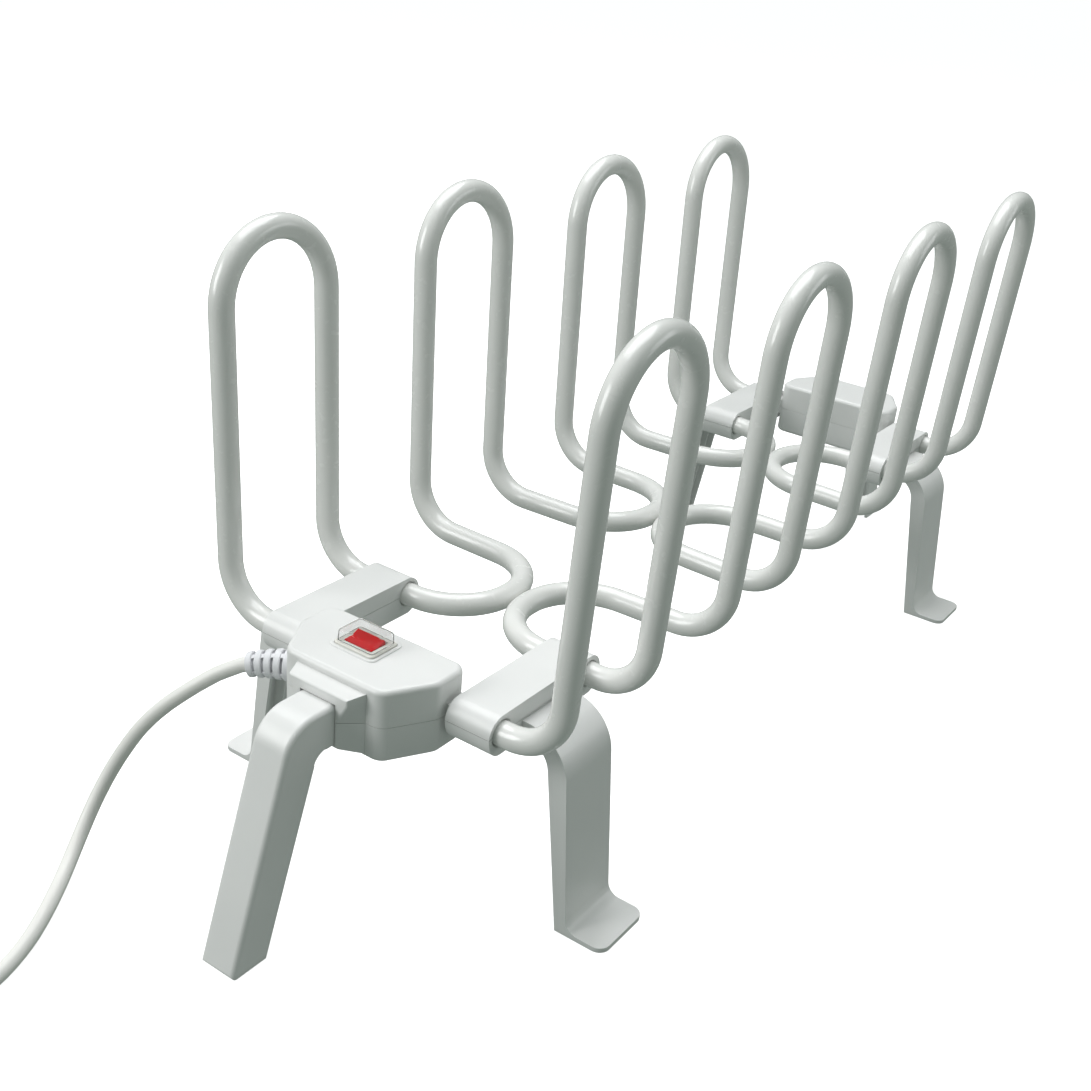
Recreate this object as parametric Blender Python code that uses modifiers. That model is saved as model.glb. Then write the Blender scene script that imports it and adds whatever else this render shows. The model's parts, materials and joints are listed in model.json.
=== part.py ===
"""Boot dryer: two rows of heated tube loops on six moulded legs, with a switched control box.

Metres, +Z up. The object stands on z = 0, X = 0 is the plane between the two rows, and the
control box is at the -Y end. The rear end mirrors the front end in the plane Y = 0.
"""
import math

import bmesh
import bpy
from mathutils import Matrix, Vector

NAME = "boot_dryer"
GAP = 0.0003
CLEAR = 0.001

# Heating tubes
TUBE_RADIUS = 0.008
TUBE_WALL = 0.0012
TUBE_Z = 0.138
LOOPS = 4
LOOP_PITCH = 0.190
LOOP_WIDTH = 0.090
LOOP_X = 0.1306
LOOP_TOP = 0.379
LOOP_LEAN = math.radians(1.8)
FOOT_BEND = 0.035
ARCH_BEND = LOOP_WIDTH / 2
TURN_X = 0.0088
TURN_NARROWING = 0.004
TURN_BEND = (LOOP_PITCH - LOOP_WIDTH) / 2 - TURN_NARROWING
FIRST_Y = -((LOOPS - 1) * LOOP_PITCH + LOOP_WIDTH) / 2
TUBE_END_X = 0.0625
HEATER_RADIUS = 0.0025
BEND_STEP = math.radians(30)

# Housings: a six-sided box, parted at the height of the tubes
PART_Z = TUBE_Z
HOUSING_TOP = 0.1624
HOUSING_BOTTOM = 0.1143
HOUSING_FRONT = 0.3755
HOUSING_BACK = 0.3165
HOUSING_SHOULDER = 0.344
HOUSING_HALF = 0.055
HOUSING_NOSE_HALF = 0.0375
HOUSING_CORNER = 0.004
HOUSING_RIM = 0.0024
WALL = 0.0022

# Clamp bars that hold each tube's end and its second pass
BAR_INNER = 0.0583
BAR_OUTER = 0.0908
BAR_RADIUS = 0.012
BAR_DEPTH = 0.015
BAR_FIRST_Y = -FIRST_Y
BAR_SECOND_Y = 0.2385
BAR_RIM = 0.0016
BAR_STEPS = 4
BAR_HOLLOW_Y = (0.2515, 0.3175)
BRIDGE_X = (0.050, 0.0592)
BRIDGE_Y = (0.3205, 0.3365)
BRIDGE_HEIGHT = 0.007

# Legs
SIDE_LEG_Y = 0.285
SIDE_LEG_WIDTH = 0.049
SIDE_LEG_TOP = 0.1368
SIDE_LEG_UNDER = 0.1262
SIDE_LEG_SOLE = 0.137
SIDE_LEG_SOLE_INNER = 0.1286
SIDE_LEG_SPLAY = 0.105
SIDE_LEG_INNER_SPLAY = 0.151
SIDE_LEG_TOE = 0.1641
SIDE_LEG_FLANGE = 0.0034
SIDE_LEG_WALL = 0.0024
SIDE_LEG_RIB = 0.0018
SIDE_LEG_POCKETS = 3
TONGUE_END = 0.0625
CENTRE_LEG_WIDTH = 0.0272
CENTRE_LEG_TOP = 0.1495
CENTRE_LEG_UNDER = 0.1228
CENTRE_LEG_TOE = 0.4675
CENTRE_LEG_HEEL = 0.4408
CENTRE_LEG_SPLAY = 0.315
CENTRE_LEG_INNER_SPLAY = 0.328
CENTRE_LEG_WALL = 0.0026
SPIGOT_END = 0.3625
BOSS_HALF = 0.0225
BOSS_BACK = 0.3735
BOSS_FRONT = 0.387
BOSS_TOP = 0.1575
BOSS_BOTTOM = 0.1206
BOSS_RIM = 0.0025

# Screws
SCREW_RADIUS = 0.0015
SCREW_HOLE = 0.0018
HEAD_RADIUS = 0.0028
HEAD_HEIGHT = 0.002
HEAD_CLEARANCE = 0.0004
POST_RADIUS = 0.004
NOSE_POST = (0.0232, 0.3662)
BACK_POST = (0.0468, 0.3228)
POST_HOLE_DEPTH = 0.0135
SHELL_SCREW_HEAD_Z = 0.1215
SHELL_SCREW_LENGTH = 0.027
CENTRE_SCREW_Y = 0.3675
CENTRE_SCREW_HEAD_Z = 0.1155
CENTRE_SCREW_LENGTH = 0.0125
CENTRE_SCREW_HOLE_TOP = 0.1302
SIDE_SCREW_X = 0.0745
SIDE_SCREW_HEAD_Z = 0.1207
SIDE_SCREW_LENGTH = 0.0122
SIDE_SCREW_HOLE_TOP = 0.1352
CLAMP_SCREW_LENGTH = 0.010

# Switch
SWITCH_X = -0.0055
SWITCH_Y = -0.3403
BEZEL_SIZE = (0.031, 0.0245)
BEZEL_HEIGHT = 0.002
SWITCH_BODY_SIZE = (0.0275, 0.021)
SWITCH_BODY_DEPTH = 0.018
SWITCH_WELL_SIZE = (0.0218, 0.0156)
SWITCH_WELL_DEPTH = 0.0125
ROCKER_HALF_LENGTH = 0.0105
ROCKER_HALF_DEPTH = 0.0062
ROCKER_TILT = math.radians(11)
ROCKER_CENTRE = 0.0052
ROCKER_PIVOT_Z = 0.1600
TRUNNION_RADIUS = 0.0015
COVER_SIZE = (0.0284, 0.0214)
COVER_TOP = 0.1722
COVER_WALL = 0.0008

# Electrical parts inside the housings
BLOCK_SIZE = (0.022, 0.016)
BLOCK_LOW = 0.131
BLOCK_HIGH = 0.145
BLOCK_X = 0.030
PAD_HALF = 0.006
HEATER_BLOCK_END = BLOCK_X + BLOCK_SIZE[0] / 2 + GAP
REAR_BLOCK_END = BLOCK_SIZE[0] / 2 + GAP
CUTOUT_END = 0.0340
CUTOUT_LENGTH = 0.013
CUTOUT_RADIUS = 0.0032
WIRE_RADIUS = 0.0009
TAB_SIZE = (0.0008, 0.0048, 0.007)
TAB_OFFSET = (0.009, 0.0055)
CLAMP_ALONG = 0.013
CLAMP_POST_OFFSET = 0.0085
CLAMP_POST_RADIUS = 0.0032
CLAMP_SIZE = (0.0056, 0.0234, 0.0025)

# Mains cord: out of the front-left corner, down to the floor and into a stored coil
CORD_RADIUS = 0.0048
CORD_ROOT = Vector((-0.0462, -0.3597, 0.1395))
CORD_AIM = Vector((-0.874, -0.486, 0)).normalized()
INNER_CORD_END = 0.020
RELIEF_LENGTH = 0.0275
RELIEF_DROOP = 0.0034
RELIEF_INSIDE = 0.006
RELIEF_NECK = 0.0062
RELIEF_FLANGE = 0.0080
RELIEF_FOOT = 0.0101
RELIEF_TAPER = 0.0005
RELIEF_RINGS = 5
RELIEF_PITCH = 0.0058
RELIEF_SLOT = 0.0017
RELIEF_SLOT_DEPTH = 0.0012
CORD_ROUTE = [
    (-0.0859, -0.3846, 0.1278),
    (-0.0929, -0.3899, 0.1216),
    (-0.0999, -0.3949, 0.1151),
    (-0.1135, -0.4033, 0.1008),
    (-0.1257, -0.4104, 0.0846),
    (-0.1352, -0.4174, 0.0666),
    (-0.1416, -0.4261, 0.0481),
    (-0.1434, -0.4377, 0.0301),
    (-0.1395, -0.4524, 0.0152),
    (-0.1303, -0.4695, 0.0067),
    (-0.1181, -0.4870, 0.0052),
    (-0.1060, -0.5048, 0.0052),
    (-0.0950, -0.5235, 0.0052),
    (-0.0862, -0.5440, 0.0052),
    (-0.0815, -0.5630, 0.0052),
    (-0.0800, -0.5775, 0.0052),
]
CORD_SPACING = 0.016
COIL_CENTRE = Vector((-0.140, -0.615, 0))
COIL_RADIUS = 0.0527
COIL_HALF_WIDTH = 0.0121
COIL_HEIGHT = 0.0198
COIL_EDGE = 0.003
PLUG_Z = 0.0187
PLUG_START = Vector((-0.185, -0.675, PLUG_Z))
PLUG_RADIUS = 0.018
PLUG_TAIL = 0.020
PLUG_LENGTH = 0.034
PIN_RADIUS = 0.0024
PIN_LENGTH = 0.019
PIN_SPACING = 0.019

WHITE = (0.80, 0.82, 0.80)
CREAM = (0.83, 0.81, 0.76)
RED = (0.60, 0.01, 0.02)
BRASS = (0.75, 0.60, 0.28)
STEEL = (0.62, 0.62, 0.62)
GREY = (0.35, 0.35, 0.36)


def material(name, colour, roughness, metallic=0.0):
    """A Principled material with one colour."""
    result = bpy.data.materials.new(name)
    result.use_nodes = True
    shader = result.node_tree.nodes["Principled BSDF"]
    shader.inputs["Base Color"].default_value = (*colour, 1)
    shader.inputs["Roughness"].default_value = roughness
    shader.inputs["Metallic"].default_value = metallic
    return result


def collection(name):
    """A new collection in the scene."""
    result = bpy.data.collections.new(name)
    bpy.context.scene.collection.children.link(result)
    return result


def place(name, mesh, finish, smooth=True):
    """A named part with its material, in the parts' collection."""
    part = bpy.data.objects.new(name, mesh)
    mesh.materials.clear()
    mesh.materials.append(finish)
    if smooth:
        mesh.shade_smooth()
        mesh.set_sharp_from_angle(angle=math.radians(35))
    parts.objects.link(part)
    return part


def tool(mesh):
    """A cutter or an added shape, kept out of the parts."""
    shape = bpy.data.objects.new("cutter", mesh)
    shape.hide_render = True
    shape.display_type = "WIRE"
    cutters.objects.link(shape)
    return shape


def combine(part, mesh, operation):
    """Add a Boolean modifier that cuts a mesh from a part, or joins it to the part."""
    modifier = part.modifiers.new(operation.title(), "BOOLEAN")
    modifier.operation = operation
    modifier.solver = "EXACT"
    modifier.object = tool(mesh)


def cut(part, *meshes):
    """Take meshes away from a part."""
    for mesh in meshes:
        combine(part, mesh, "DIFFERENCE")


def join(part, *meshes):
    """Add meshes to a part."""
    for mesh in meshes:
        combine(part, mesh, "UNION")


def mesh_from_bmesh(bm):
    """A mesh from a bmesh, with its faces pointing out."""
    bm.normal_update()
    bmesh.ops.recalc_face_normals(bm, faces=bm.faces)
    mesh = bpy.data.meshes.new("shape")
    bm.to_mesh(mesh)
    bm.free()
    return mesh


def curve_mesh(curve):
    """The closed mesh of a curve, its caps welded."""
    helper = bpy.data.objects.new("helper", curve)
    bpy.context.scene.collection.objects.link(helper)
    evaluated = helper.evaluated_get(bpy.context.evaluated_depsgraph_get())
    mesh = bpy.data.meshes.new_from_object(evaluated)
    bpy.data.objects.remove(helper)
    bm = bmesh.new()
    bm.from_mesh(mesh)
    bmesh.ops.remove_doubles(bm, verts=bm.verts, dist=0.00001)
    return mesh_from_bmesh(bm)


def box(low, high):
    """A box between two corners."""
    low, high = Vector(low), Vector(high)
    bm = bmesh.new()
    size = Matrix.Diagonal((*(high - low), 1))
    bmesh.ops.create_cube(bm, size=1, matrix=Matrix.Translation((low + high) / 2) @ size)
    return mesh_from_bmesh(bm)


def span(one, other):
    """A box between two opposite corners, in any order."""
    pairs = [sorted(pair) for pair in zip(one, other)]
    return box([low for low, _ in pairs], [high for _, high in pairs])


def rod(start, end, radius, sides=16):
    """A cylinder between two points."""
    start, end = Vector(start), Vector(end)
    axis = end - start
    turn = axis.to_track_quat("Z", "Y").to_matrix().to_4x4()
    bm = bmesh.new()
    bmesh.ops.create_cone(
        bm, cap_ends=True, segments=sides, radius1=radius, radius2=radius, depth=axis.length,
        matrix=Matrix.Translation((start + end) / 2) @ turn)
    return mesh_from_bmesh(bm)


def prism(outline, low, high):
    """A flat outline in X and Y, extruded from low to high."""
    curve = bpy.data.curves.new("outline", "CURVE")
    curve.dimensions = "2D"
    curve.fill_mode = "BOTH"
    curve.extrude = (high - low) / 2
    spline = curve.splines.new("POLY")
    spline.points.add(len(outline) - 1)
    for point, (x, y) in zip(spline.points, outline):
        point.co = (x, y, 0, 1)
    spline.use_cyclic_u = True
    mesh = curve_mesh(curve)
    mesh.transform(Matrix.Translation((0, 0, (low + high) / 2)))
    bm = bmesh.new()
    bm.from_mesh(mesh)
    bmesh.ops.dissolve_limit(bm, angle_limit=0.001, verts=bm.verts, edges=bm.edges)
    return refill(mesh, bm)


def tube(route, radius, resolution, capped=True):
    """A round bar along a route of points."""
    curve = bpy.data.curves.new("route", "CURVE")
    curve.dimensions = "3D"
    curve.bevel_depth = radius
    curve.bevel_resolution = resolution
    curve.use_fill_caps = capped
    spline = curve.splines.new("POLY")
    spline.points.add(len(route) - 1)
    for point, place_ in zip(spline.points, route):
        point.co = (*place_, 1)
    return curve_mesh(curve)


def turned(name, profile, start, aim, finish, steps=16):
    """A part turned from a closed profile of (distance along the axis, radius)."""
    bm = bmesh.new()
    corners = [bm.verts.new((radius, 0, -along)) for along, radius in profile]
    for first, second in zip(corners, corners[1:]):
        bm.edges.new((first, second))
    mesh = bpy.data.meshes.new(name)
    bm.to_mesh(mesh)
    bm.free()
    part = place(name, mesh, finish)
    part.location = start
    part.rotation_mode = "QUATERNION"
    part.rotation_quaternion = aim.to_track_quat("-Z", "Y")
    screw = part.modifiers.new("Turn", "SCREW")
    screw.steps = steps
    screw.render_steps = steps
    screw.use_merge_vertices = True
    screw.merge_threshold = 0.00001
    screw.use_smooth_shade = True
    return part


def round_edges(mesh, chosen, radius, segments, along=None):
    """Round the sharp edges whose two ends pass a test, or only those along one axis."""
    bm = bmesh.new()
    bm.from_mesh(mesh)
    edges = [
        edge for edge in bm.edges
        if all(chosen(vert.co) for vert in edge.verts)
        and edge.calc_face_angle(0) > math.radians(40)
        and (along is None or abs((edge.verts[0].co - edge.verts[1].co).normalized()[along]) > 0.99)]
    bmesh.ops.bevel(bm, geom=edges, offset=radius, segments=segments, profile=0.5,
                    affect="EDGES")
    return refill(mesh, bm)


def refill(mesh, bm):
    """Put a changed bmesh back in its mesh."""
    bm.normal_update()
    bmesh.ops.recalc_face_normals(bm, faces=bm.faces)
    bm.to_mesh(mesh)
    bm.free()
    return mesh


def mirrored(mesh, axis):
    """A copy of a mesh, mirrored in the plane through the origin across axis 0 or 1."""
    scale = [1, 1, 1, 1]
    scale[axis] = -1
    bm = bmesh.new()
    bm.from_mesh(mesh)
    bm.transform(Matrix.Diagonal(scale))
    return refill(mesh.copy(), bm)


def rounded(corners, closed=False):
    """Points along corners of (point, radius), each corner replaced by an arc."""
    corners = [(Vector(point), radius) for point, radius in corners]
    if closed:
        triples = zip(corners[-1:] + corners[:-1], corners, corners[1:] + corners[:1])
        points = []
    else:
        triples = zip(corners, corners[1:], corners[2:])
        points = [corners[0][0]]
    for (before, _), (corner, radius), (after, _) in triples:
        arrive = (corner - before).normalized()
        leave = (after - corner).normalized()
        turn = arrive.angle(leave)
        if radius == 0:
            points.append(corner)
            continue
        side = (leave - arrive * arrive.dot(leave)).normalized()
        start = corner - arrive * radius * math.tan(turn / 2)
        count = max(2, round(turn / BEND_STEP))
        for index in range(count + 1):
            angle = turn * index / count
            points.append(
                start + side * radius * (1 - math.cos(angle)) + arrive * radius * math.sin(angle))
    if not closed:
        points.append(corners[-1][0])
    return [point for index, point in enumerate(points)
            if index == 0 or (point - points[index - 1]).length > 0.00005]


def smooth(route, spacing):
    """Even points along a smooth curve through a route's points."""
    route = [Vector(point) for point in route]
    ends = [route[0] * 2 - route[1]] + route + [route[-1] * 2 - route[-2]]
    fine = []
    for a, b, c, d in zip(ends, ends[1:], ends[2:], ends[3:]):
        for index in range(12):
            t = index / 12
            fine.append((b * 2 + (c - a) * t + (a * 2 - b * 5 + c * 4 - d) * t ** 2
                         + (b * 3 - a - c * 3 + d) * t ** 3) / 2)
    fine.append(route[-1])
    total = sum((b - a).length for a, b in zip(fine, fine[1:]))
    count = round(total / spacing)
    points = [fine[0]]
    run = 0
    for a, b in zip(fine, fine[1:]):
        run += (b - a).length
        if run >= total * len(points) / count and len(points) < count:
            points.append(b)
    return points + [fine[-1]]


def across(mesh):
    """Turn a prism whose outline is in X and Z, drawn as X and Y, to run along Y."""
    mesh.transform(Matrix.Rotation(math.pi / 2, 4, "X"))
    return mesh


def endways(mesh):
    """Turn a prism whose outline is in -Y and Z, drawn as X and Y, to run along X."""
    mesh.transform(Matrix.Rotation(-math.pi / 2, 4, "Z") @ Matrix.Rotation(math.pi / 2, 4, "X"))
    return mesh


def tube_route():
    """The right-hand tube's centre line, from its front end to its rear end."""
    lean = math.tan(LOOP_LEAN) * (LOOP_TOP - TUBE_Z)
    corners = [((TUBE_END_X, FIRST_Y, TUBE_Z), 0)]
    for loop in range(LOOPS):
        near = FIRST_Y + loop * LOOP_PITCH
        far = near + LOOP_WIDTH
        if loop:
            corners.append(((TURN_X, near - TURN_NARROWING, TUBE_Z), TURN_BEND))
        corners += [
            ((LOOP_X, near, TUBE_Z), FOOT_BEND),
            ((LOOP_X + lean, near, LOOP_TOP), ARCH_BEND),
            ((LOOP_X + lean, far, LOOP_TOP), ARCH_BEND),
            ((LOOP_X, far, TUBE_Z), FOOT_BEND),
        ]
        if loop < LOOPS - 1:
            corners.append(((TURN_X, far + TURN_NARROWING, TUBE_Z), TURN_BEND))
    corners.append(((TUBE_END_X, -FIRST_Y, TUBE_Z), 0))
    return rounded(corners)


def heating_rows():
    """Two bent tubes, each with its heating cable inside."""
    route = tube_route()
    tube_mesh = tube(route, TUBE_RADIUS, 2, capped=False)
    for side, front_end, rear_end in ((1, HEATER_BLOCK_END, REAR_BLOCK_END),
                                      (-1, CUTOUT_END, REAR_BLOCK_END)):
        name = "right" if side == 1 else "left"
        cable = [Vector((front_end, FIRST_Y, TUBE_Z))] + route
        cable += [Vector((rear_end, -FIRST_Y, TUBE_Z))]
        heater = tube(cable, HEATER_RADIUS, 1)
        row = tube_mesh.copy()
        if side == -1:
            heater = mirrored(heater, 0)
            row = mirrored(row, 0)
        part = place(f"{name}_heating_tube", row, enamel)
        wall = part.modifiers.new("Wall", "SOLIDIFY")
        wall.thickness = TUBE_WALL
        wall.offset = -1
        place(f"{name}_heating_cable", heater, silicone)


def housing_outline(inset=0.0):
    """The housing seen from above, its front at +Y in this drawing."""
    nose = HOUSING_NOSE_HALF - inset * 0.75
    half = HOUSING_HALF - inset
    shoulder = HOUSING_SHOULDER - inset * 0.3
    front = HOUSING_FRONT - inset
    back = HOUSING_BACK + inset
    corner = HOUSING_CORNER - inset / 2
    points = [(nose, front), (half, shoulder), (half, back), (-half, back),
              (-half, shoulder), (-nose, front)]
    return [(point.x, -point.y) for point in
            rounded([((x, y, 0), corner) for x, y in points], closed=True)]


def bar_profile(upper):
    """The upper or the lower half of a clamp bar's rounded section, as -Y and Z."""
    height = BAR_RADIUS if upper else -BAR_DEPTH
    points = []
    for y, toward in ((BAR_FIRST_Y, 1), (BAR_SECOND_Y, -1)):
        quarter = []
        for index in range(BAR_STEPS + 1):
            angle = math.pi / 2 * index / BAR_STEPS
            quarter.append((y + toward * BAR_RADIUS * math.cos(angle),
                            PART_Z + height * max(math.sin(angle), GAP / 2 / BAR_RADIUS)))
        points += quarter[::toward]
    return points


def bar(side, upper):
    """One half of a clamp bar, on one side of the housing."""
    mesh = endways(prism(bar_profile(upper), -BAR_OUTER, -BAR_INNER))
    round_edges(mesh, lambda p: abs(p.z - PART_Z) > CLEAR, BAR_RIM, 1)
    return mesh if side == 1 else mirrored(mesh, 0)


def pass_rod(side, row, radius, start, end):
    """A rod along the first tube pass across a clamp bar, row 0, or along the second, row 1."""
    slope = TURN_NARROWING / (LOOP_X - TURN_X) * row
    base = FIRST_Y + row * LOOP_WIDTH
    ends = [(x, base + slope * (LOOP_X - x), TUBE_Z) for x in (start, end)]
    mesh = rod(*ends, radius, sides=16)
    return mesh if side == 1 else mirrored(mesh, 0)


def post_places():
    """The four screw posts of a housing, as X and Y."""
    return [(side * x, -y) for x, y in (NOSE_POST, BACK_POST) for side in (-1, 1)]


def shell(end, upper):
    """The upper or the lower shell of a housing at the front end, without the switch's opening."""
    sign = 1 if upper else -1
    part_z = PART_Z + sign * GAP / 2
    outer_z = HOUSING_TOP if upper else HOUSING_BOTTOM
    body = prism(housing_outline(), *sorted((part_z, outer_z)))
    round_edges(body, lambda p: abs(p.z - outer_z) < 0.0001, HOUSING_RIM, 2)
    part = place(f"{end}_{'upper' if upper else 'lower'}_shell", body, plastic)
    for side in (-1, 1):
        join(part, bar(side, upper),
             span((side * BRIDGE_X[0], -BRIDGE_Y[0], part_z),
                  (side * BRIDGE_X[1], -BRIDGE_Y[1], part_z + sign * BRIDGE_HEIGHT)))
    block = span((-BOSS_HALF, -BOSS_FRONT, part_z),
                 (BOSS_HALF, -BOSS_BACK, BOSS_TOP if upper else BOSS_BOTTOM))
    round_edges(block, lambda p: p.y < -BOSS_FRONT + 0.0001 and abs(p.z - part_z) > 0.0001,
                BOSS_RIM, 2)
    join(part, block)
    cut(part, prism(housing_outline(WALL), *sorted((part_z - sign * CLEAR, outer_z - sign * WALL))))
    for side in (-1, 1):
        cut(part, span((side * (BAR_INNER + WALL), -BAR_HOLLOW_Y[0], part_z - sign * CLEAR),
                       (side * (BAR_OUTER - WALL), -BAR_HOLLOW_Y[1],
                        part_z + sign * (BAR_RADIUS - WALL))))
    for x, y in post_places():
        join(part, rod((x, y, part_z), (x, y, outer_z - sign * WALL / 2), POST_RADIUS, 10))
    cut_tubes_and_legs(part)
    for x, y in post_places():
        if upper:
            cut(part, rod((x, y, part_z - CLEAR), (x, y, part_z + POST_HOLE_DEPTH), SCREW_HOLE, 8))
        else:
            cut(part, *screw_seat(x, y, SHELL_SCREW_HEAD_Z, part_z + CLEAR))
    return part


def cut_tubes_and_legs(part):
    """Cut a shell's half of the tubes' bores and of the legs' sockets."""
    outside = BAR_OUTER + 0.010
    for side in (-1, 1):
        cut(part,
            pass_rod(side, 0, TUBE_RADIUS + GAP, TUBE_END_X - 2 * GAP, outside),
            pass_rod(side, 0, HEATER_RADIUS + CLEAR, HOUSING_HALF - 0.010, TUBE_END_X + 0.005),
            pass_rod(side, 1, TUBE_RADIUS + GAP, BAR_INNER - 0.005, outside))
        half = SIDE_LEG_WIDTH / 2 + GAP
        cut(part, span((side * (TONGUE_END - CLEAR), -SIDE_LEG_Y - half, SIDE_LEG_UNDER - GAP),
                       (side * outside, -SIDE_LEG_Y + half, SIDE_LEG_TOP + GAP)))
    half = CENTRE_LEG_WIDTH / 2 + GAP
    cut(part, span((-half, -BOSS_FRONT - 0.010, CENTRE_LEG_UNDER - GAP),
                   (half, -SPIGOT_END + CLEAR, CENTRE_LEG_TOP + GAP)))


def screw_seat(x, y, head_z, top):
    """The hole for an upright screw and the well that its head sits in."""
    below = HOUSING_BOTTOM - 0.005
    return (rod((x, y, below), (x, y, top), SCREW_HOLE, 8),
            rod((x, y, below), (x, y, head_z + HEAD_HEIGHT + GAP), HEAD_RADIUS + HEAD_CLEARANCE, 12))


def finished(part):
    """The part's mesh with its modifiers applied."""
    bpy.context.view_layer.update()
    evaluated = part.evaluated_get(bpy.context.evaluated_depsgraph_get())
    return bpy.data.meshes.new_from_object(evaluated)


def to_rear(part):
    """Mirror a finished front part to the rear end."""
    mesh = mirrored(finished(part), 1)
    part.modifiers.clear()
    part.data = mesh
    return part


def front_shells():
    """The control box: the shells with the switch's opening, the cord's hole and the posts."""
    upper = shell("front", True)
    lower = shell("front", False)
    half_x, half_y = (size / 2 + GAP for size in SWITCH_BODY_SIZE)
    cut(upper, box((SWITCH_X - half_x, SWITCH_Y - half_y, HOUSING_TOP - 2 * WALL),
                   (SWITCH_X + half_x, SWITCH_Y + half_y, HOUSING_TOP + CLEAR)))
    through_wall = CORD_AIM * 2 * WALL
    for part in (upper, lower):
        cut(part, rod(CORD_ROOT - through_wall, CORD_ROOT + through_wall, RELIEF_NECK + GAP, 20))
    post_top = CORD_ROOT.z + CORD_RADIUS + GAP
    for point in clamp_posts():
        join(lower, rod((point.x, point.y, HOUSING_BOTTOM + WALL / 2),
                        (point.x, point.y, post_top), CLAMP_POST_RADIUS, 12))
        cut(lower, rod((point.x, point.y, post_top - CLAMP_SCREW_LENGTH),
                       (point.x, point.y, post_top + CLEAR), SCREW_HOLE, 10))
    finish_lower(lower, BLOCK_X)
    return upper, lower


def rear_shells():
    """The plain box at the rear end."""
    upper = shell("rear", True)
    lower = shell("rear", False)
    finish_lower(lower, 0)
    return to_rear(upper), to_rear(lower)


def finish_lower(lower, block_x):
    """Add the pad under the connector block and the leg screws' holes to a lower shell."""
    floor = HOUSING_BOTTOM + WALL / 2
    join(lower,
         box((block_x - PAD_HALF, FIRST_Y - PAD_HALF, floor),
             (block_x + PAD_HALF, FIRST_Y + PAD_HALF, BLOCK_LOW - GAP)),
         rod((0, -CENTRE_SCREW_Y, floor), (0, -CENTRE_SCREW_Y, CENTRE_LEG_UNDER - GAP),
             POST_RADIUS, 12))
    cut(lower, *screw_seat(0, -CENTRE_SCREW_Y, CENTRE_SCREW_HEAD_Z, CENTRE_LEG_UNDER + CLEAR))
    for side in (-1, 1):
        x = side * SIDE_SCREW_X
        cut(lower, rod((x, -SIDE_LEG_Y, SIDE_SCREW_HEAD_Z), (x, -SIDE_LEG_Y, SIDE_LEG_UNDER + CLEAR),
                       SCREW_HOLE, 8))


def clamp_posts():
    """Where the cord clamp's two posts stand."""
    middle = CORD_ROOT - CORD_AIM * CLAMP_ALONG
    sideways = Vector((-CORD_AIM.y, CORD_AIM.x, 0))
    return [middle + sideways * sign * CLAMP_POST_OFFSET for sign in (-1, 1)]


def side_leg():
    """The front right leg: a channel with ribs, open to the inside, on a flat toe."""
    top = SIDE_LEG_TOP
    outer_top = SIDE_LEG_SOLE - SIDE_LEG_SPLAY * top
    inner_top = SIDE_LEG_SOLE_INNER - SIDE_LEG_INNER_SPLAY * SIDE_LEG_UNDER
    outline = rounded([
        ((TONGUE_END, top, 0), 0),
        ((outer_top, top, 0), 0.032),
        ((SIDE_LEG_SOLE - SIDE_LEG_SPLAY * SIDE_LEG_FLANGE, SIDE_LEG_FLANGE, 0), 0.008),
        ((SIDE_LEG_TOE, SIDE_LEG_FLANGE, 0), 0),
        ((SIDE_LEG_TOE, 0, 0), 0),
        ((SIDE_LEG_SOLE_INNER, 0, 0), 0),
        ((inner_top, SIDE_LEG_UNDER, 0), 0.018),
        ((TONGUE_END, SIDE_LEG_UNDER, 0), 0),
    ], closed=True)
    half = SIDE_LEG_WIDTH / 2
    body = across(prism([(p.x, p.y) for p in outline], SIDE_LEG_Y - half, SIDE_LEG_Y + half))
    round_edges(body, lambda p: p.x > SIDE_LEG_TOE - 0.0001, 0.008, 4, along=2)
    leg = place("side_leg", body, plastic)
    wall = SIDE_LEG_WALL
    pocket = rounded([
        ((BAR_OUTER + 0.003, top - wall, 0), 0),
        ((outer_top - wall, top - wall, 0), 0.032 - wall),
        ((SIDE_LEG_SOLE - SIDE_LEG_SPLAY * SIDE_LEG_FLANGE - wall, SIDE_LEG_FLANGE, 0), 0),
        ((BAR_OUTER + 0.003, SIDE_LEG_FLANGE, 0), 0),
    ], closed=True)
    width = (SIDE_LEG_WIDTH - 2 * wall + SIDE_LEG_RIB) / SIDE_LEG_POCKETS - SIDE_LEG_RIB
    for index in range(SIDE_LEG_POCKETS):
        low = SIDE_LEG_Y - half + wall + index * (width + SIDE_LEG_RIB)
        cut(leg, across(prism([(p.x, p.y) for p in pocket], low, low + width)))
    cut(leg, rod((SIDE_SCREW_X, -SIDE_LEG_Y, SIDE_SCREW_HEAD_Z),
                 (SIDE_SCREW_X, -SIDE_LEG_Y, SIDE_SCREW_HOLE_TOP), SCREW_HOLE, 10))
    return leg


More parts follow.
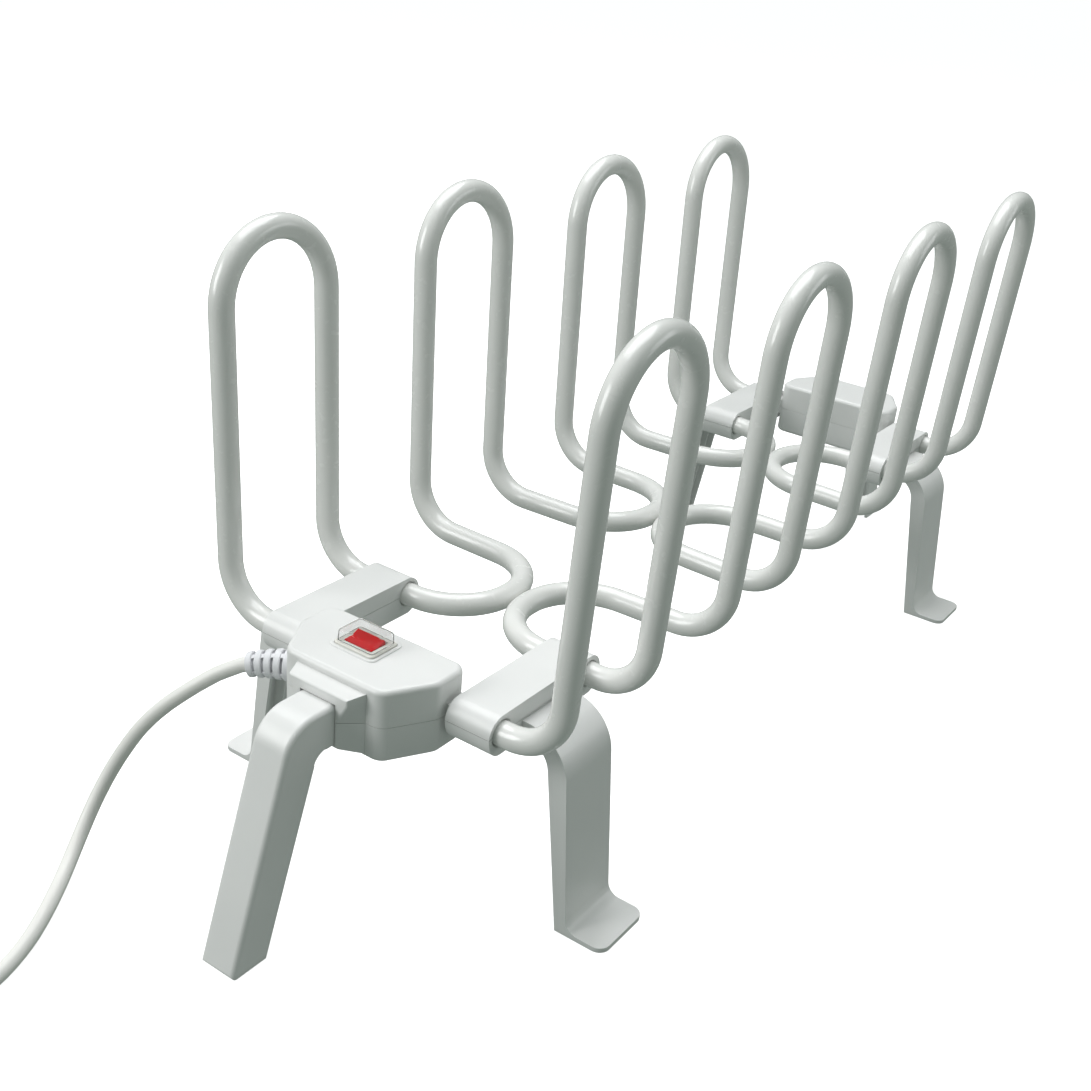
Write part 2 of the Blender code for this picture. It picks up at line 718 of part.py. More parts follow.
def centre_leg():
    """The front centre leg: a channel open to the inside, on a spigot in the housing's boss."""
    wall = CENTRE_LEG_WALL
    outer_top = CENTRE_LEG_TOE - CENTRE_LEG_SPLAY * CENTRE_LEG_TOP
    inner_top = CENTRE_LEG_HEEL - CENTRE_LEG_INNER_SPLAY * CENTRE_LEG_UNDER
    outline = rounded([
        ((SPIGOT_END, CENTRE_LEG_TOP, 0), 0),
        ((outer_top, CENTRE_LEG_TOP, 0), 0.024),
        ((CENTRE_LEG_TOE, 0, 0), 0),
        ((CENTRE_LEG_HEEL, 0, 0), 0),
        ((inner_top, CENTRE_LEG_UNDER, 0), 0.010),
        ((SPIGOT_END, CENTRE_LEG_UNDER, 0), 0),
    ], closed=True)
    half = CENTRE_LEG_WIDTH / 2
    leg = place("centre_leg", endways(prism([(p.x, p.y) for p in outline], -half, half)), plastic)
    pocket = rounded([
        ((BOSS_FRONT + 0.004, CENTRE_LEG_TOP - wall, 0), 0),
        ((outer_top - wall, CENTRE_LEG_TOP - wall, 0), 0.022),
        ((CENTRE_LEG_TOE + CENTRE_LEG_SPLAY * wall - wall, -wall, 0), 0),
        ((BOSS_FRONT + 0.004, -wall, 0), 0),
    ], closed=True)
    cut(leg,
        endways(prism([(p.x, p.y) for p in pocket], -half + wall, half - wall)),
        rod((0, -CENTRE_SCREW_Y, CENTRE_SCREW_HEAD_Z),
            (0, -CENTRE_SCREW_Y, CENTRE_SCREW_HOLE_TOP), SCREW_HOLE, 10))
    return leg


def legs():
    """Four side legs and two centre legs."""
    first = side_leg()
    mesh = finished(first)
    bpy.data.objects.remove(first)
    for end in ("front", "rear"):
        for side in ("right", "left"):
            copy = mesh.copy()
            if side == "left":
                copy = mirrored(copy, 0)
            if end == "rear":
                copy = mirrored(copy, 1)
            place(f"{end}_{side}_side_leg", copy, plastic)
    first = centre_leg()
    mesh = finished(first)
    bpy.data.objects.remove(first)
    place("front_centre_leg", mesh, plastic)
    place("rear_centre_leg", mirrored(mesh, 1), plastic)


def screw(name, x, y, head_z, length):
    """An upright screw with its head down."""
    profile = [(0, 0), (0, HEAD_RADIUS), (HEAD_HEIGHT, HEAD_RADIUS), (HEAD_HEIGHT, SCREW_RADIUS),
               (length, SCREW_RADIUS), (length + SCREW_RADIUS, 0)]
    return turned(name, profile, Vector((x, y, head_z)), Vector((0, 0, 1)), steel, 6)


def screws():
    """The shells' and the legs' screws."""
    for end, name in ((1, "front"), (-1, "rear")):
        for index, (x, y) in enumerate(post_places(), 1):
            screw(f"{name}_shell_screw_{index}", x, end * y, SHELL_SCREW_HEAD_Z,
                  SHELL_SCREW_LENGTH)
        screw(f"{name}_centre_leg_screw", 0, -end * CENTRE_SCREW_Y, CENTRE_SCREW_HEAD_Z,
              CENTRE_SCREW_LENGTH)
        for side, side_name in ((1, "right"), (-1, "left")):
            screw(f"{name}_{side_name}_leg_screw", side * SIDE_SCREW_X, -end * SIDE_LEG_Y,
                  SIDE_SCREW_HEAD_Z, SIDE_SCREW_LENGTH)
    for index, point in enumerate(clamp_posts(), 1):
        head = CORD_ROOT.z + CORD_RADIUS + CLAMP_SIZE[2] + 3 * GAP + HEAD_HEIGHT
        part = screw(f"cord_clamp_screw_{index}", point.x, point.y, head, CLAMP_SCREW_LENGTH)
        part.rotation_quaternion = Vector((0, 0, -1)).to_track_quat("-Z", "Y")


def switch():
    """The illuminated rocker switch under its clear splash cover."""
    centre = Vector((SWITCH_X, SWITCH_Y, 0))
    seat = HOUSING_TOP + GAP
    top = seat + BEZEL_HEIGHT

    def centred(size, low, high, corner=0.0):
        half_x, half_y = size[0] / 2, size[1] / 2
        corners = [((centre.x + sx * half_x, centre.y + sy * half_y, 0), corner)
                   for sx, sy in ((-1, -1), (1, -1), (1, 1), (-1, 1))]
        return prism([(p.x, p.y) for p in rounded(corners, closed=True)], low, high)

    bezel = centred(BEZEL_SIZE, seat, top, 0.0022)
    round_edges(bezel, lambda p: p.z > top - 0.0001, 0.0008, 2)
    body = place("switch_body", bezel, cream)
    join(body, centred(SWITCH_BODY_SIZE, seat - SWITCH_BODY_DEPTH, seat + BEZEL_HEIGHT / 2))
    cut(body, centred(SWITCH_WELL_SIZE, top - SWITCH_WELL_DEPTH, top + 0.001))
    pivot = Vector((SWITCH_X, SWITCH_Y, ROCKER_PIVOT_Z))
    hole_half = ROCKER_HALF_LENGTH + 0.0022
    cut(body, rod(pivot - Vector((hole_half, 0, 0)), pivot + Vector((hole_half, 0, 0)),
                  TRUNNION_RADIUS + GAP, 12))

    end_top = ROCKER_CENTRE + 0.0012
    half = ROCKER_HALF_DEPTH
    section = [(-half, end_top), (0, ROCKER_CENTRE), (half, end_top), (half, -0.0005),
               (half / 2, -0.003), (-half / 2, -0.003), (-half, -0.0005)]
    mesh = endways(prism(section, -ROCKER_HALF_LENGTH, ROCKER_HALF_LENGTH))
    round_edges(mesh, lambda p: p.z > 0, 0.0006, 2)
    mesh.transform(Matrix.Rotation(ROCKER_TILT, 4, "X"))
    rocker = place("switch_rocker", mesh, red)
    rocker.location = pivot
    trunnion_half = ROCKER_HALF_LENGTH + 0.0018
    trunnions = rod(pivot - Vector((trunnion_half, 0, 0)), pivot + Vector((trunnion_half, 0, 0)),
                    TRUNNION_RADIUS, 12)
    join(rocker, trunnions)

    cover = centred(COVER_SIZE, top + GAP, COVER_TOP, 0.0018)
    round_edges(cover, lambda p: p.z > COVER_TOP - 0.0001, 0.0012, 2)
    cover = place("switch_splash_cover", cover, clear)
    inner = tuple(size - 2 * COVER_WALL for size in COVER_SIZE)
    cut(cover, centred(inner, top - 0.001, COVER_TOP - COVER_WALL, 0.0012))

    tab_top = seat - SWITCH_BODY_DEPTH - GAP
    number = 0
    for side in (-1, 1):
        for end in (-1, 1):
            number += 1
            tab = centre + Vector((side * TAB_OFFSET[0], end * TAB_OFFSET[1], tab_top))
            half_tab = Vector((TAB_SIZE[0] / 2, TAB_SIZE[1] / 2, 0))
            place(f"switch_tab_{number}",
                  box(tab - half_tab - Vector((0, 0, TAB_SIZE[2])), tab + half_tab), brass)


def connector(name, x, y):
    """A block with a row of terminal screws in its top."""
    half_x, half_y = (size / 2 for size in BLOCK_SIZE)
    block = place(name, box((x - half_x, y - half_y, BLOCK_LOW), (x + half_x, y + half_y,
                                                                 BLOCK_HIGH)), grey)
    for offset in (-0.0065, 0, 0.0065):
        cut(block, rod((x + offset, y, BLOCK_HIGH - 0.005), (x + offset, y, BLOCK_HIGH + 0.001),
                       0.0016, 8))


def wiring():
    """Connector blocks, thermal cut-out, inner leads and the cord clamp."""
    connector("terminal_block", BLOCK_X, FIRST_Y)
    connector("rear_connector_block", 0, -FIRST_Y)
    cutout_x = -CUTOUT_END + GAP
    place("thermal_cutout", rod((cutout_x, FIRST_Y, TUBE_Z),
                                (cutout_x + CUTOUT_LENGTH, FIRST_Y, TUBE_Z), CUTOUT_RADIUS, 12),
          steel)
    inner_end = CORD_ROOT - CORD_AIM * INNER_CORD_END
    place("inner_cord_end", tube([CORD_ROOT - CORD_AIM * (RELIEF_INSIDE + GAP), inner_end],
                                 CORD_RADIUS, 2), white_cord)
    sideways = Vector((-CORD_AIM.y, CORD_AIM.x, 0))
    start = inner_end - CORD_AIM * WIRE_RADIUS * 1.5
    tab_x = SWITCH_X - TAB_OFFSET[0] - TAB_SIZE[0] / 2 - WIRE_RADIUS
    tab_low_y = SWITCH_Y - TAB_OFFSET[1]
    tab_high_y = SWITCH_Y + TAB_OFFSET[1]
    block_face = BLOCK_X - BLOCK_SIZE[0] / 2 - WIRE_RADIUS
    routes = {
        "line_wire": [start - sideways * 0.0018, (-0.0220, -0.3462, 0.1398),
                      (tab_x, tab_low_y, 0.1400)],
        "neutral_wire": [start + sideways * 0.0018, (-0.0205, -0.3545, 0.1350),
                         (-0.0100, -0.3568, 0.1310), (0.0040, -0.3560, 0.1310),
                         (0.0130, -0.3460, 0.1345), (block_face, -0.3345, 0.1380)],
        "earth_wire": [start - Vector((0, 0, 0.0020)), (-0.0200, -0.3440, 0.1300),
                       (-0.0080, -0.3390, 0.1262), (0.0060, -0.3320, 0.1280),
                       (block_face, -0.3265, 0.1350)],
        "heater_lead": [(cutout_x + CUTOUT_LENGTH + WIRE_RADIUS, FIRST_Y, TUBE_Z),
                        (-0.0178, -0.3318, 0.1386), (tab_x, tab_high_y, 0.1400)],
    }
    for name, route in routes.items():
        place(name, tube(smooth(route, 0.006), WIRE_RADIUS, 1), grey)
    middle = CORD_ROOT - CORD_AIM * CLAMP_ALONG
    half = [size / 2 for size in CLAMP_SIZE]
    clamp_z = CORD_RADIUS + 2 * GAP + half[2]
    mesh = box((-half[0], -half[1], -half[2]), half)
    turn = Matrix.Rotation(math.atan2(CORD_AIM.y, CORD_AIM.x), 4, "Z")
    mesh.transform(Matrix.Translation(middle + Vector((0, 0, clamp_z))) @ turn)
    clamp = place("cord_clamp", mesh, plastic)
    for point in clamp_posts():
        cut(clamp, rod(point, point + Vector((0, 0, 0.012)), SCREW_HOLE, 10))


def strain_relief():
    """The tapered relief: rings round the cord's axis, drooping to their tip."""
    profile = [(-RELIEF_INSIDE, 0), (-RELIEF_INSIDE, RELIEF_FLANGE), (-WALL - GAP, RELIEF_FLANGE),
               (-WALL - GAP, RELIEF_NECK), (GAP, RELIEF_NECK)]
    for ring in range(RELIEF_RINGS):
        start = GAP + ring * RELIEF_PITCH
        end = min(start + RELIEF_PITCH - RELIEF_SLOT, RELIEF_LENGTH)
        radius = RELIEF_FOOT - ring * RELIEF_TAPER
        floor = radius - RELIEF_SLOT_DEPTH
        profile += [(start, radius), (end, radius), (end, floor), (start + RELIEF_PITCH, floor)]
    profile = profile[:-2] + [(RELIEF_LENGTH, 0)]
    relief = turned("cord_strain_relief", profile, CORD_ROOT, CORD_AIM, white_cord, 12)
    relief.data = finished(relief)
    relief.modifiers.clear()
    pose = relief.matrix_basis
    for vertex in relief.data.vertices:
        vertex.co = pose.inverted() @ drooped(pose @ vertex.co)


def drooped(point):
    """Where a point on the straight relief goes when the relief bends down to its tip."""
    along = (point - CORD_ROOT).dot(CORD_AIM)
    if along <= 0:
        return point
    share = along / RELIEF_LENGTH
    turn = 2 * RELIEF_DROOP * share / RELIEF_LENGTH
    rise = point.z - CORD_ROOT.z
    moved = point + CORD_AIM * rise * math.sin(turn)
    moved.z = CORD_ROOT.z - RELIEF_DROOP * share ** 2 + rise * math.cos(turn)
    return moved


def cord():
    """The free cord, its stored coil and its plug."""
    tip = drooped(CORD_ROOT + CORD_AIM * RELIEF_LENGTH)
    turn = 2 * RELIEF_DROOP / RELIEF_LENGTH
    aim = CORD_AIM * math.cos(turn) - Vector((0, 0, math.sin(turn)))
    start = tip + aim * GAP
    route = [start] + smooth([start + aim * CORD_RADIUS] + CORD_ROUTE, CORD_SPACING)
    place("power_cord", tube(route, CORD_RADIUS, 2), white_cord)

    inner, outer = COIL_RADIUS - COIL_HALF_WIDTH, COIL_RADIUS + COIL_HALF_WIDTH
    ring = [(GAP, inner), (GAP, outer - COIL_EDGE), (COIL_EDGE, outer),
            (COIL_HEIGHT - COIL_EDGE, outer), (COIL_HEIGHT, outer - COIL_EDGE),
            (COIL_HEIGHT, inner), (GAP, inner)]
    turned("power_cord_coil", ring, COIL_CENTRE, Vector((0, 0, 1)), white_cord, 24)

    away = Vector((-1, 0, 0))
    body = [(0, 0), (0, CORD_RADIUS + 0.001), (PLUG_TAIL, 0.0075), (PLUG_TAIL + 0.006, 0.0160),
            (PLUG_TAIL + 0.012, PLUG_RADIUS), (PLUG_TAIL + PLUG_LENGTH, PLUG_RADIUS),
            (PLUG_TAIL + PLUG_LENGTH, 0)]
    turned("power_plug", body, PLUG_START, away, white_cord, 20)
    face = PLUG_START + away * (PLUG_TAIL + PLUG_LENGTH + GAP)
    for number, side in enumerate((-1, 1), 1):
        root = face + Vector((0, side * PIN_SPACING / 2, 0))
        pin = [(0, 0), (0, PIN_RADIUS), (PIN_LENGTH - PIN_RADIUS, PIN_RADIUS), (PIN_LENGTH, 0)]
        turned(f"plug_pin_{number}", pin, root, away, brass, 10)


for old in list(bpy.data.objects):
    bpy.data.objects.remove(old)
parts = collection(NAME)
cutters = collection("cutters")
enamel = material("white_enamel", WHITE, 0.2)
plastic = material("white_plastic", WHITE, 0.3)
cream = material("cream_plastic", CREAM, 0.35)
red = material("red_lens", RED, 0.15)
clear = material("clear_cover", (0.85, 0.87, 0.85), 0.1)
white_cord = material("white_pvc", CREAM, 0.4)
silicone = material("silicone_cable", (0.55, 0.20, 0.12), 0.6)
brass = material("brass", BRASS, 0.3, 1.0)
steel = material("zinc_steel", STEEL, 0.35, 1.0)
grey = material("grey_nylon", GREY, 0.5)
heating_rows()
front_shells()
rear_shells()
legs()
screws()
switch()
wiring()
strain_relief()
cord()
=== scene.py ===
"""Boot dryer: the finished surfaces, cord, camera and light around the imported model.

Metres, +Z up. X = 0 is the plane between the two rows of loops, -Y is the control box's end.
Each piece is drawn at the front right and mirrored to where its copies stand.
"""
import json
import math

import bmesh
import bpy
from mathutils import Matrix, Vector


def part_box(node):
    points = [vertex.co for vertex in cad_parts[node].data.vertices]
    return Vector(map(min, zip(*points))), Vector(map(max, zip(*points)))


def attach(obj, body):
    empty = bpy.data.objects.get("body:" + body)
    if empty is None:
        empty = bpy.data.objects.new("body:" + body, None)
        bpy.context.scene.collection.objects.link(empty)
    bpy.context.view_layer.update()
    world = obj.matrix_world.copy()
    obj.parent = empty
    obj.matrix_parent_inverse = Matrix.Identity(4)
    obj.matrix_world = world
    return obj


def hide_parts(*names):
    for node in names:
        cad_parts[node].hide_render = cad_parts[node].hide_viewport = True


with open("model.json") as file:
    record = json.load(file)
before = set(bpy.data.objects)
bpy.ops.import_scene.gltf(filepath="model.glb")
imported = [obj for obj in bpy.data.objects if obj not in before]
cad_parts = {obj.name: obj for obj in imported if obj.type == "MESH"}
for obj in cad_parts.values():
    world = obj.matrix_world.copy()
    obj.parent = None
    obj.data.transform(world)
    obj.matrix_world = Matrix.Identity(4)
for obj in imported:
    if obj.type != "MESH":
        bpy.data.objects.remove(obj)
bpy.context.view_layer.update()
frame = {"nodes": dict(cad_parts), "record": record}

# Camera
CAMERA_AT = Vector((0.467, -0.884, 0.5797))
CAMERA_YAW = math.radians(32.918)
CAMERA_PITCH = math.radians(25.527)
CAMERA_ROLL = math.radians(5.529)
CAMERA_LENS = 45.467

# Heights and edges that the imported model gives
shell_low, shell_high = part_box("front_upper_shell")
lower_low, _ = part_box("front_lower_shell")
tube_low, tube_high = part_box("right_heating_tube")
side_low, side_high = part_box("front_right_side_leg")
centre_low, centre_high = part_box("front_centre_leg")
bezel_low, bezel_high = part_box("switch_body")
cover_low, cover_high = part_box("switch_splash_cover")

# The gap between pieces, how near a plane a point lies to be on it, how far past a face a joined
# or cut shape runs, and how near two points are to become one in an outline and in a mesh
GAP = 0.0003
NEAR = 0.0001
CLEAR = 0.001
SAME = 0.00002
WELD = 0.000005
PART_Z = shell_low.z - GAP / 2

# Heating tubes
TUBE_RADIUS = 0.008
TUBE_Z = tube_low.z + TUBE_RADIUS
LOOPS = 4
LOOP_PITCH = 0.190
LOOP_WIDTH = 0.090
LOOP_X = 0.1306
LOOP_TOP = tube_high.z - TUBE_RADIUS
LOOP_LEAN = math.radians(1.8)
FOOT_BEND = 0.035
ARCH_BEND = LOOP_WIDTH / 2
TURN_X = 0.0088
TURN_NARROWING = 0.004
TURN_BEND = (LOOP_PITCH - LOOP_WIDTH) / 2 - TURN_NARROWING
FIRST_Y = -((LOOPS - 1) * LOOP_PITCH + LOOP_WIDTH) / 2
TUBE_END_X = 0.0625
TUBE_SIDES = 32
BEND_STEP = math.radians(5)

# Housings. Here and in the legs a Y is measured toward -Y, the control box's end
HOUSING_TOP = shell_high.z
HOUSING_BOTTOM = lower_low.z
HOUSING_FRONT = 0.3755
HOUSING_BACK = 0.3165
HOUSING_SHOULDER = 0.344
HOUSING_HALF = 0.055
HOUSING_NOSE_HALF = 0.0375
HOUSING_CORNER = 0.010
HOUSING_RIM = 0.0034
HOUSING_SEAM = 0.0004
LIP_INSET = 0.0004
WALL = 0.0022
BAR_INNER = 0.0583
BAR_OUTER = shell_high.x
BAR_RADIUS = 0.012
BAR_DEPTH = 0.015
BAR_FIRST_Y = -FIRST_Y
BAR_SECOND_Y = 0.2385
BAR_RIM = 0.0022
BAR_SEAM = 0.0005
BAR_STEPS = 12
BAR_HOLLOW_Y = (0.3175, 0.2515)
BAR_CUT = (0.050, 0.105)
MOUTH_DEPTH = 0.0014
MOUTH_RADIUS = TUBE_RADIUS + 0.0021
BRIDGE_X = (0.050, 0.0592)
BRIDGE_Y = (0.3205, 0.3365)
BRIDGE_HEIGHT = 0.007
SEAT_WIDTH = 0.005
SEAT_HEIGHT = 0.0009
SEAT_CORNER = 0.0042
SEAT_RIM = 0.0008
CORD_HOLE_RADIUS = 0.0065
CORD_HOLE_HALF = 0.005
BOSS_HALF = 0.0225
BOSS_FRONT = -shell_low.y
BOSS_TOP = 0.1575
BOSS_BOTTOM = 0.1206
BOSS_WALL_HALF = 0.0268
BOSS_LOW_HALF = 0.015
BOSS_NARROW_Z = (0.1385, 0.1520)
BOSS_RIM = 0.0012
BOSS_RISE = 0.0002
BOSS_SLOPE = 0.0016
BOSS_LOW_SLOPE = 0.0045
BOSS_ROOT = 0.003

# Screws, as (distance from the head, radius), and the wells that hold them
SCREW_PROFILE = [(0, 0), (0, 0.0014), (0.0002, 0.0021), (0.0007, 0.0027), (0.0013, 0.0028),
                 (0.0020, 0.0028), (0.0020, 0.0015), (0.0090, 0.0015), (0.0105, 0)]
SCREW_SHANK = 0.0025
RECESS_HALF = 0.0016
RECESS_WIDTH = 0.00064
RECESS_DEPTH = 0.0009
POST_RADIUS = 0.004
WELL_RADIUS = 0.0032
WELL_FLOOR = 0.0023
HOLE_RADIUS = 0.0018
CENTRE_HOLE_TOP = 0.130
SIDE_HOLE_Z = (0.118, 0.129)

# Legs
SIDE_LEG_Y = 0.285
SIDE_LEG_WIDTH = side_high.y - side_low.y
SIDE_LEG_TOP = side_high.z
SIDE_LEG_UNDER = 0.1262
SIDE_LEG_SOLE = 0.137
SIDE_LEG_SOLE_INNER = 0.1286
SIDE_LEG_SPLAY = 0.105
SIDE_LEG_INNER_SPLAY = 0.151
SIDE_LEG_TOE = side_high.x
SIDE_LEG_FLANGE = 0.0034
SIDE_LEG_WALL = 0.0024
SIDE_LEG_RIB = 0.0018
SIDE_LEG_POCKETS = 3
SIDE_LEG_EDGE = 0.0019
SIDE_LEG_BEND = 0.032
SIDE_LEG_ANKLE = 0.009
SIDE_LEG_INNER_BEND = 0.018
SIDE_LEG_CORNER = 0.008
TONGUE_END = side_low.x
CENTRE_LEG_WIDTH = centre_high.x - centre_low.x
CENTRE_LEG_TOP = centre_high.z
CENTRE_LEG_UNDER = 0.1228
CENTRE_LEG_TOE = -centre_low.y
CENTRE_LEG_HEEL = 0.4408
CENTRE_LEG_SPLAY = 0.315
CENTRE_LEG_INNER_SPLAY = 0.328
CENTRE_LEG_WALL = 0.0026
CENTRE_LEG_EDGE = 0.0034
CENTRE_LEG_BACK_EDGE = 0.0008
CENTRE_LEG_BEND = 0.024
CENTRE_LEG_POCKET_BEND = 0.022
CENTRE_LEG_INNER_BEND = 0.010
CENTRE_LEG_FRONT = CENTRE_LEG_HEEL + 0.013
SPIGOT_END = 0.3625

# Switch
SWITCH_CENTRE = (bezel_low + bezel_high) / 2
BEZEL_CORNER = 0.0028
BEZEL_RIM = 0.0009
OPENING_SIZE = (0.0278, 0.0214)
BODY_SIZE = (0.0275, 0.021)
BODY_CORNER = 0.001
WELL_SIZE = (0.0218, 0.0156)
WELL_DEPTH = 0.0125
WELL_CORNER = 0.0008
ROCKER_PIVOT = Vector((SWITCH_CENTRE.x, SWITCH_CENTRE.y, 0.1600))
BORE_HALF = 0.0127
TRUNNION_HALF = 0.0123
TRUNNION_RADIUS = 0.0015
ROCKER_HALF_LENGTH = 0.0105
ROCKER_HALF_DEPTH = 0.0062
ROCKER_TILT = math.radians(11)
ROCKER_MIDDLE = 0.0052
ROCKER_END = 0.0064
ROCKER_DIP = 0.004
ROCKER_EDGE = 0.0006
ROCKER_SKIRT = 0.0005
ROCKER_KEEL = 0.003
COVER_CORNER = 0.0022
COVER_RIM = 0.0016
COVER_WALL = 0.0008
COVER_INNER_CORNER = 0.0015
COVER_INNER_RIM = 0.0011
COVER_LEAN = 0.035

# Cord, from the control box's front left corner to the stored coil and its plug
CORD_RADIUS = 0.0048
CORD_ROOT = Vector((-0.0462, -0.3597, 0.1395))
CORD_AIM = Vector((-0.874, -0.486, 0)).normalized()
RELIEF_LENGTH = 0.0275
RELIEF_DROOP = 0.0034
RELIEF_FOOT = 0.0101
RELIEF_TAPER = 0.0005
RELIEF_RINGS = 5
RELIEF_PITCH = 0.0058
RELIEF_SLOT = 0.0017
RELIEF_SLOT_TURN = math.radians(21)
RELIEF_SLOT_SWEEP = math.radians(70)
SECTOR_STEPS = 8
RELIEF_NECK = 0.0062
RELIEF_OUTSIDE = 0.012
# The relief's root inside the box, as (distance along the cord, radius)
RELIEF_FLANGE = [(-0.006, 0), (-0.006, 0.0078), (-0.0056, 0.0080), (-0.0025, 0.0080),
                 (-0.0025, RELIEF_NECK), (GAP, RELIEF_NECK)]
# A ring's two edges, as (distance in from the edge, depth below the ring's radius)
RELIEF_RING_START = ((0, 0.0007), (0.0005, 0.0001), (0.0012, 0))
RELIEF_RING_END = ((0.0006, 0.0001), (0, 0.0008))
CORD_SIDES = 20
CORD_STEP = 0.008
# The free cord's centre line, from past the relief's tip to the floor and on to the coil
CORD_ROUTE = [
    (-0.0859, -0.3846, 0.1278),
    (-0.0929, -0.3899, 0.1216),
    (-0.0999, -0.3949, 0.1151),
    (-0.1135, -0.4033, 0.1008),
    (-0.1257, -0.4104, 0.0846),
    (-0.1352, -0.4174, 0.0666),
    (-0.1416, -0.4261, 0.0481),
    (-0.1434, -0.4377, 0.0301),
    (-0.1395, -0.4524, 0.0152),
    (-0.1303, -0.4695, 0.0067),
    (-0.1181, -0.4870, 0.0052),
    (-0.1060, -0.5048, 0.0052),
    (-0.0950, -0.5235, 0.0052),
    (-0.0862, -0.5440, 0.0052),
    (-0.0815, -0.5630, 0.0052),
    (-0.0800, -0.5775, 0.0052),
]
COIL_CENTRE = Vector((-0.140, -0.615, 0))
COIL_LEAD = 0.014
COIL_LAYER_Z = 0.0052
COIL_LAYER_RISE = 0.0097
plug_low, plug_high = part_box("power_plug")
PLUG_LAYER = ((plug_low.z + plug_high.z) / 2 - COIL_LAYER_Z) / COIL_LAYER_RISE
# The coil's track: turns from its start, the radius there, and the layer there
COIL_TRACK = (
    (0.00, 0.0600, 0),
    (1.50, 0.0454, 0),
    (1.75, 0.0454, 1),
    (3.00, 0.0576, 1),
    (3.25, 0.0600, PLUG_LAYER),
)
COIL_STEPS = 40
TIE_WIDTH = 0.009
TIE_THICKNESS = 0.0006
TIE_BOTTOM = 0.0001
TIE_SIDES = 20

# Plug, as (distance from its tail, radius). The tail's rings repeat, each a little wider
PLUG_TAIL_END = 0.0054
PLUG_TAIL_RINGS = 5
PLUG_TAIL_START = 0.0012
PLUG_TAIL_PITCH = 0.0034
PLUG_TAIL_RADIUS = 0.006
PLUG_TAIL_GROWTH = 0.0003
PLUG_TAIL_RING = ((0, 0), (0.0018, 0.0002), (0.0019, -0.0006), (0.0032, -0.0005))
PLUG_LENGTH = 0.054
PLUG_BODY = [(0.0195, 0.0078), (0.0215, 0.0100), (0.0245, 0.0148), (0.0280, 0.0170),
             (0.0320, 0.0179), (0.0420, 0.0180), (0.0525, 0.0180), (0.0536, 0.0176),
             (PLUG_LENGTH, 0.0168), (PLUG_LENGTH, 0)]
PLUG_OUTSIDE = 0.020
# A slot's or a grip's length, half width and distance of its floor from the axis
PLUG_SLOT = (0.022, 0.003, 0.0155)
PLUG_GRIP = (0.0014, 0.009, 0.0172)
PLUG_GRIPS = 4
PLUG_GRIP_START = 0.030
PLUG_GRIP_PITCH = 0.0035
PIN_RADIUS = 0.0024
# A pin's tip, as (distance back from its end, radius)
PIN_TIP = ((0.0022, PIN_RADIUS), (0.0012, 0.0021), (0.0004, 0.0013), (0, 0))


def tone(red, green, blue):
    """A linear colour from three display values of 0 to 1."""
    return [c / 12.92 if c <= 0.04045 else ((c + 0.055) / 1.055) ** 2.4
            for c in (red, green, blue)] + [1]


def surface(name, colour, roughness, grain=900, depth=0.00004, spread=0.06, fade=0.03,
            painted_gap_shade=0.0, metallic=0.0, **sockets):
    """A finish whose shade, roughness and fine relief vary across the surface.

    colour is linear, grain is the relief's frequency per metre and depth its height in metres.
    spread is how far the roughness strays, fade how far the shade does, and painted_gap_shade
    how much darker the narrow gaps are painted: painted shade for the shadow that falls in them.
    """
    finish = bpy.data.materials.new(name)
    finish.use_nodes = True
    nodes, links = finish.node_tree.nodes, finish.node_tree.links
    shader = nodes["Principled BSDF"]
    shader.inputs["Metallic"].default_value = metallic
    for socket, value in sockets.items():
        shader.inputs[socket.replace("_", " ")].default_value = value
    where = nodes.new("ShaderNodeTexCoord").outputs["Object"]

    def noise(scale, detail):
        """A noise of a frequency per metre."""
        texture = nodes.new("ShaderNodeTexNoise")
        texture.inputs["Scale"].default_value = scale
        texture.inputs["Detail"].default_value = detail
        links.new(where, texture.inputs["Vector"])
        return texture.outputs["Fac"]

    def mapped(value, low, high):
        """A noise's middle range, spread over low to high."""
        node = nodes.new("ShaderNodeMapRange")
        node.inputs["From Min"].default_value = 0.3
        node.inputs["From Max"].default_value = 0.7
        node.inputs["To Min"].default_value = low
        node.inputs["To Max"].default_value = high
        links.new(value, node.inputs["Value"])
        return node.outputs["Result"]

    shade = nodes.new("ShaderNodeMix")
    shade.data_type = "RGBA"
    shade.inputs["A"].default_value = [c * (1 - fade) for c in colour[:3]] + [1]
    shade.inputs["B"].default_value = colour
    links.new(mapped(noise(22, 3), 0, 1), shade.inputs["Factor"])
    tint = shade.outputs["Result"]
    # Painted shade: the base colour is darkened where the ambient occlusion mask finds narrow gaps,
    # standing in for the shadow that falls there
    if painted_gap_shade:
        gaps = nodes.new("ShaderNodeAmbientOcclusion")
        gaps.inputs["Distance"].default_value = 0.004
        painted_shade = nodes.new("ShaderNodeMix")
        painted_shade.data_type = "RGBA"
        painted_shade.inputs["A"].default_value = [c * (1 - painted_gap_shade) for c in colour[:3]] + [1]
        links.new(gaps.outputs["AO"], painted_shade.inputs["Factor"])
        links.new(tint, painted_shade.inputs["B"])
        tint = painted_shade.outputs["Result"]
    links.new(tint, shader.inputs["Base Color"])
    links.new(mapped(noise(160, 4), roughness - spread, roughness + spread),
              shader.inputs["Roughness"])
    relief = nodes.new("ShaderNodeBump")
    relief.inputs["Strength"].default_value = 1
    relief.inputs["Distance"].default_value = depth
    links.new(noise(grain, 2), relief.inputs["Height"])
    links.new(relief.outputs["Normal"], shader.inputs["Normal"])
    return finish


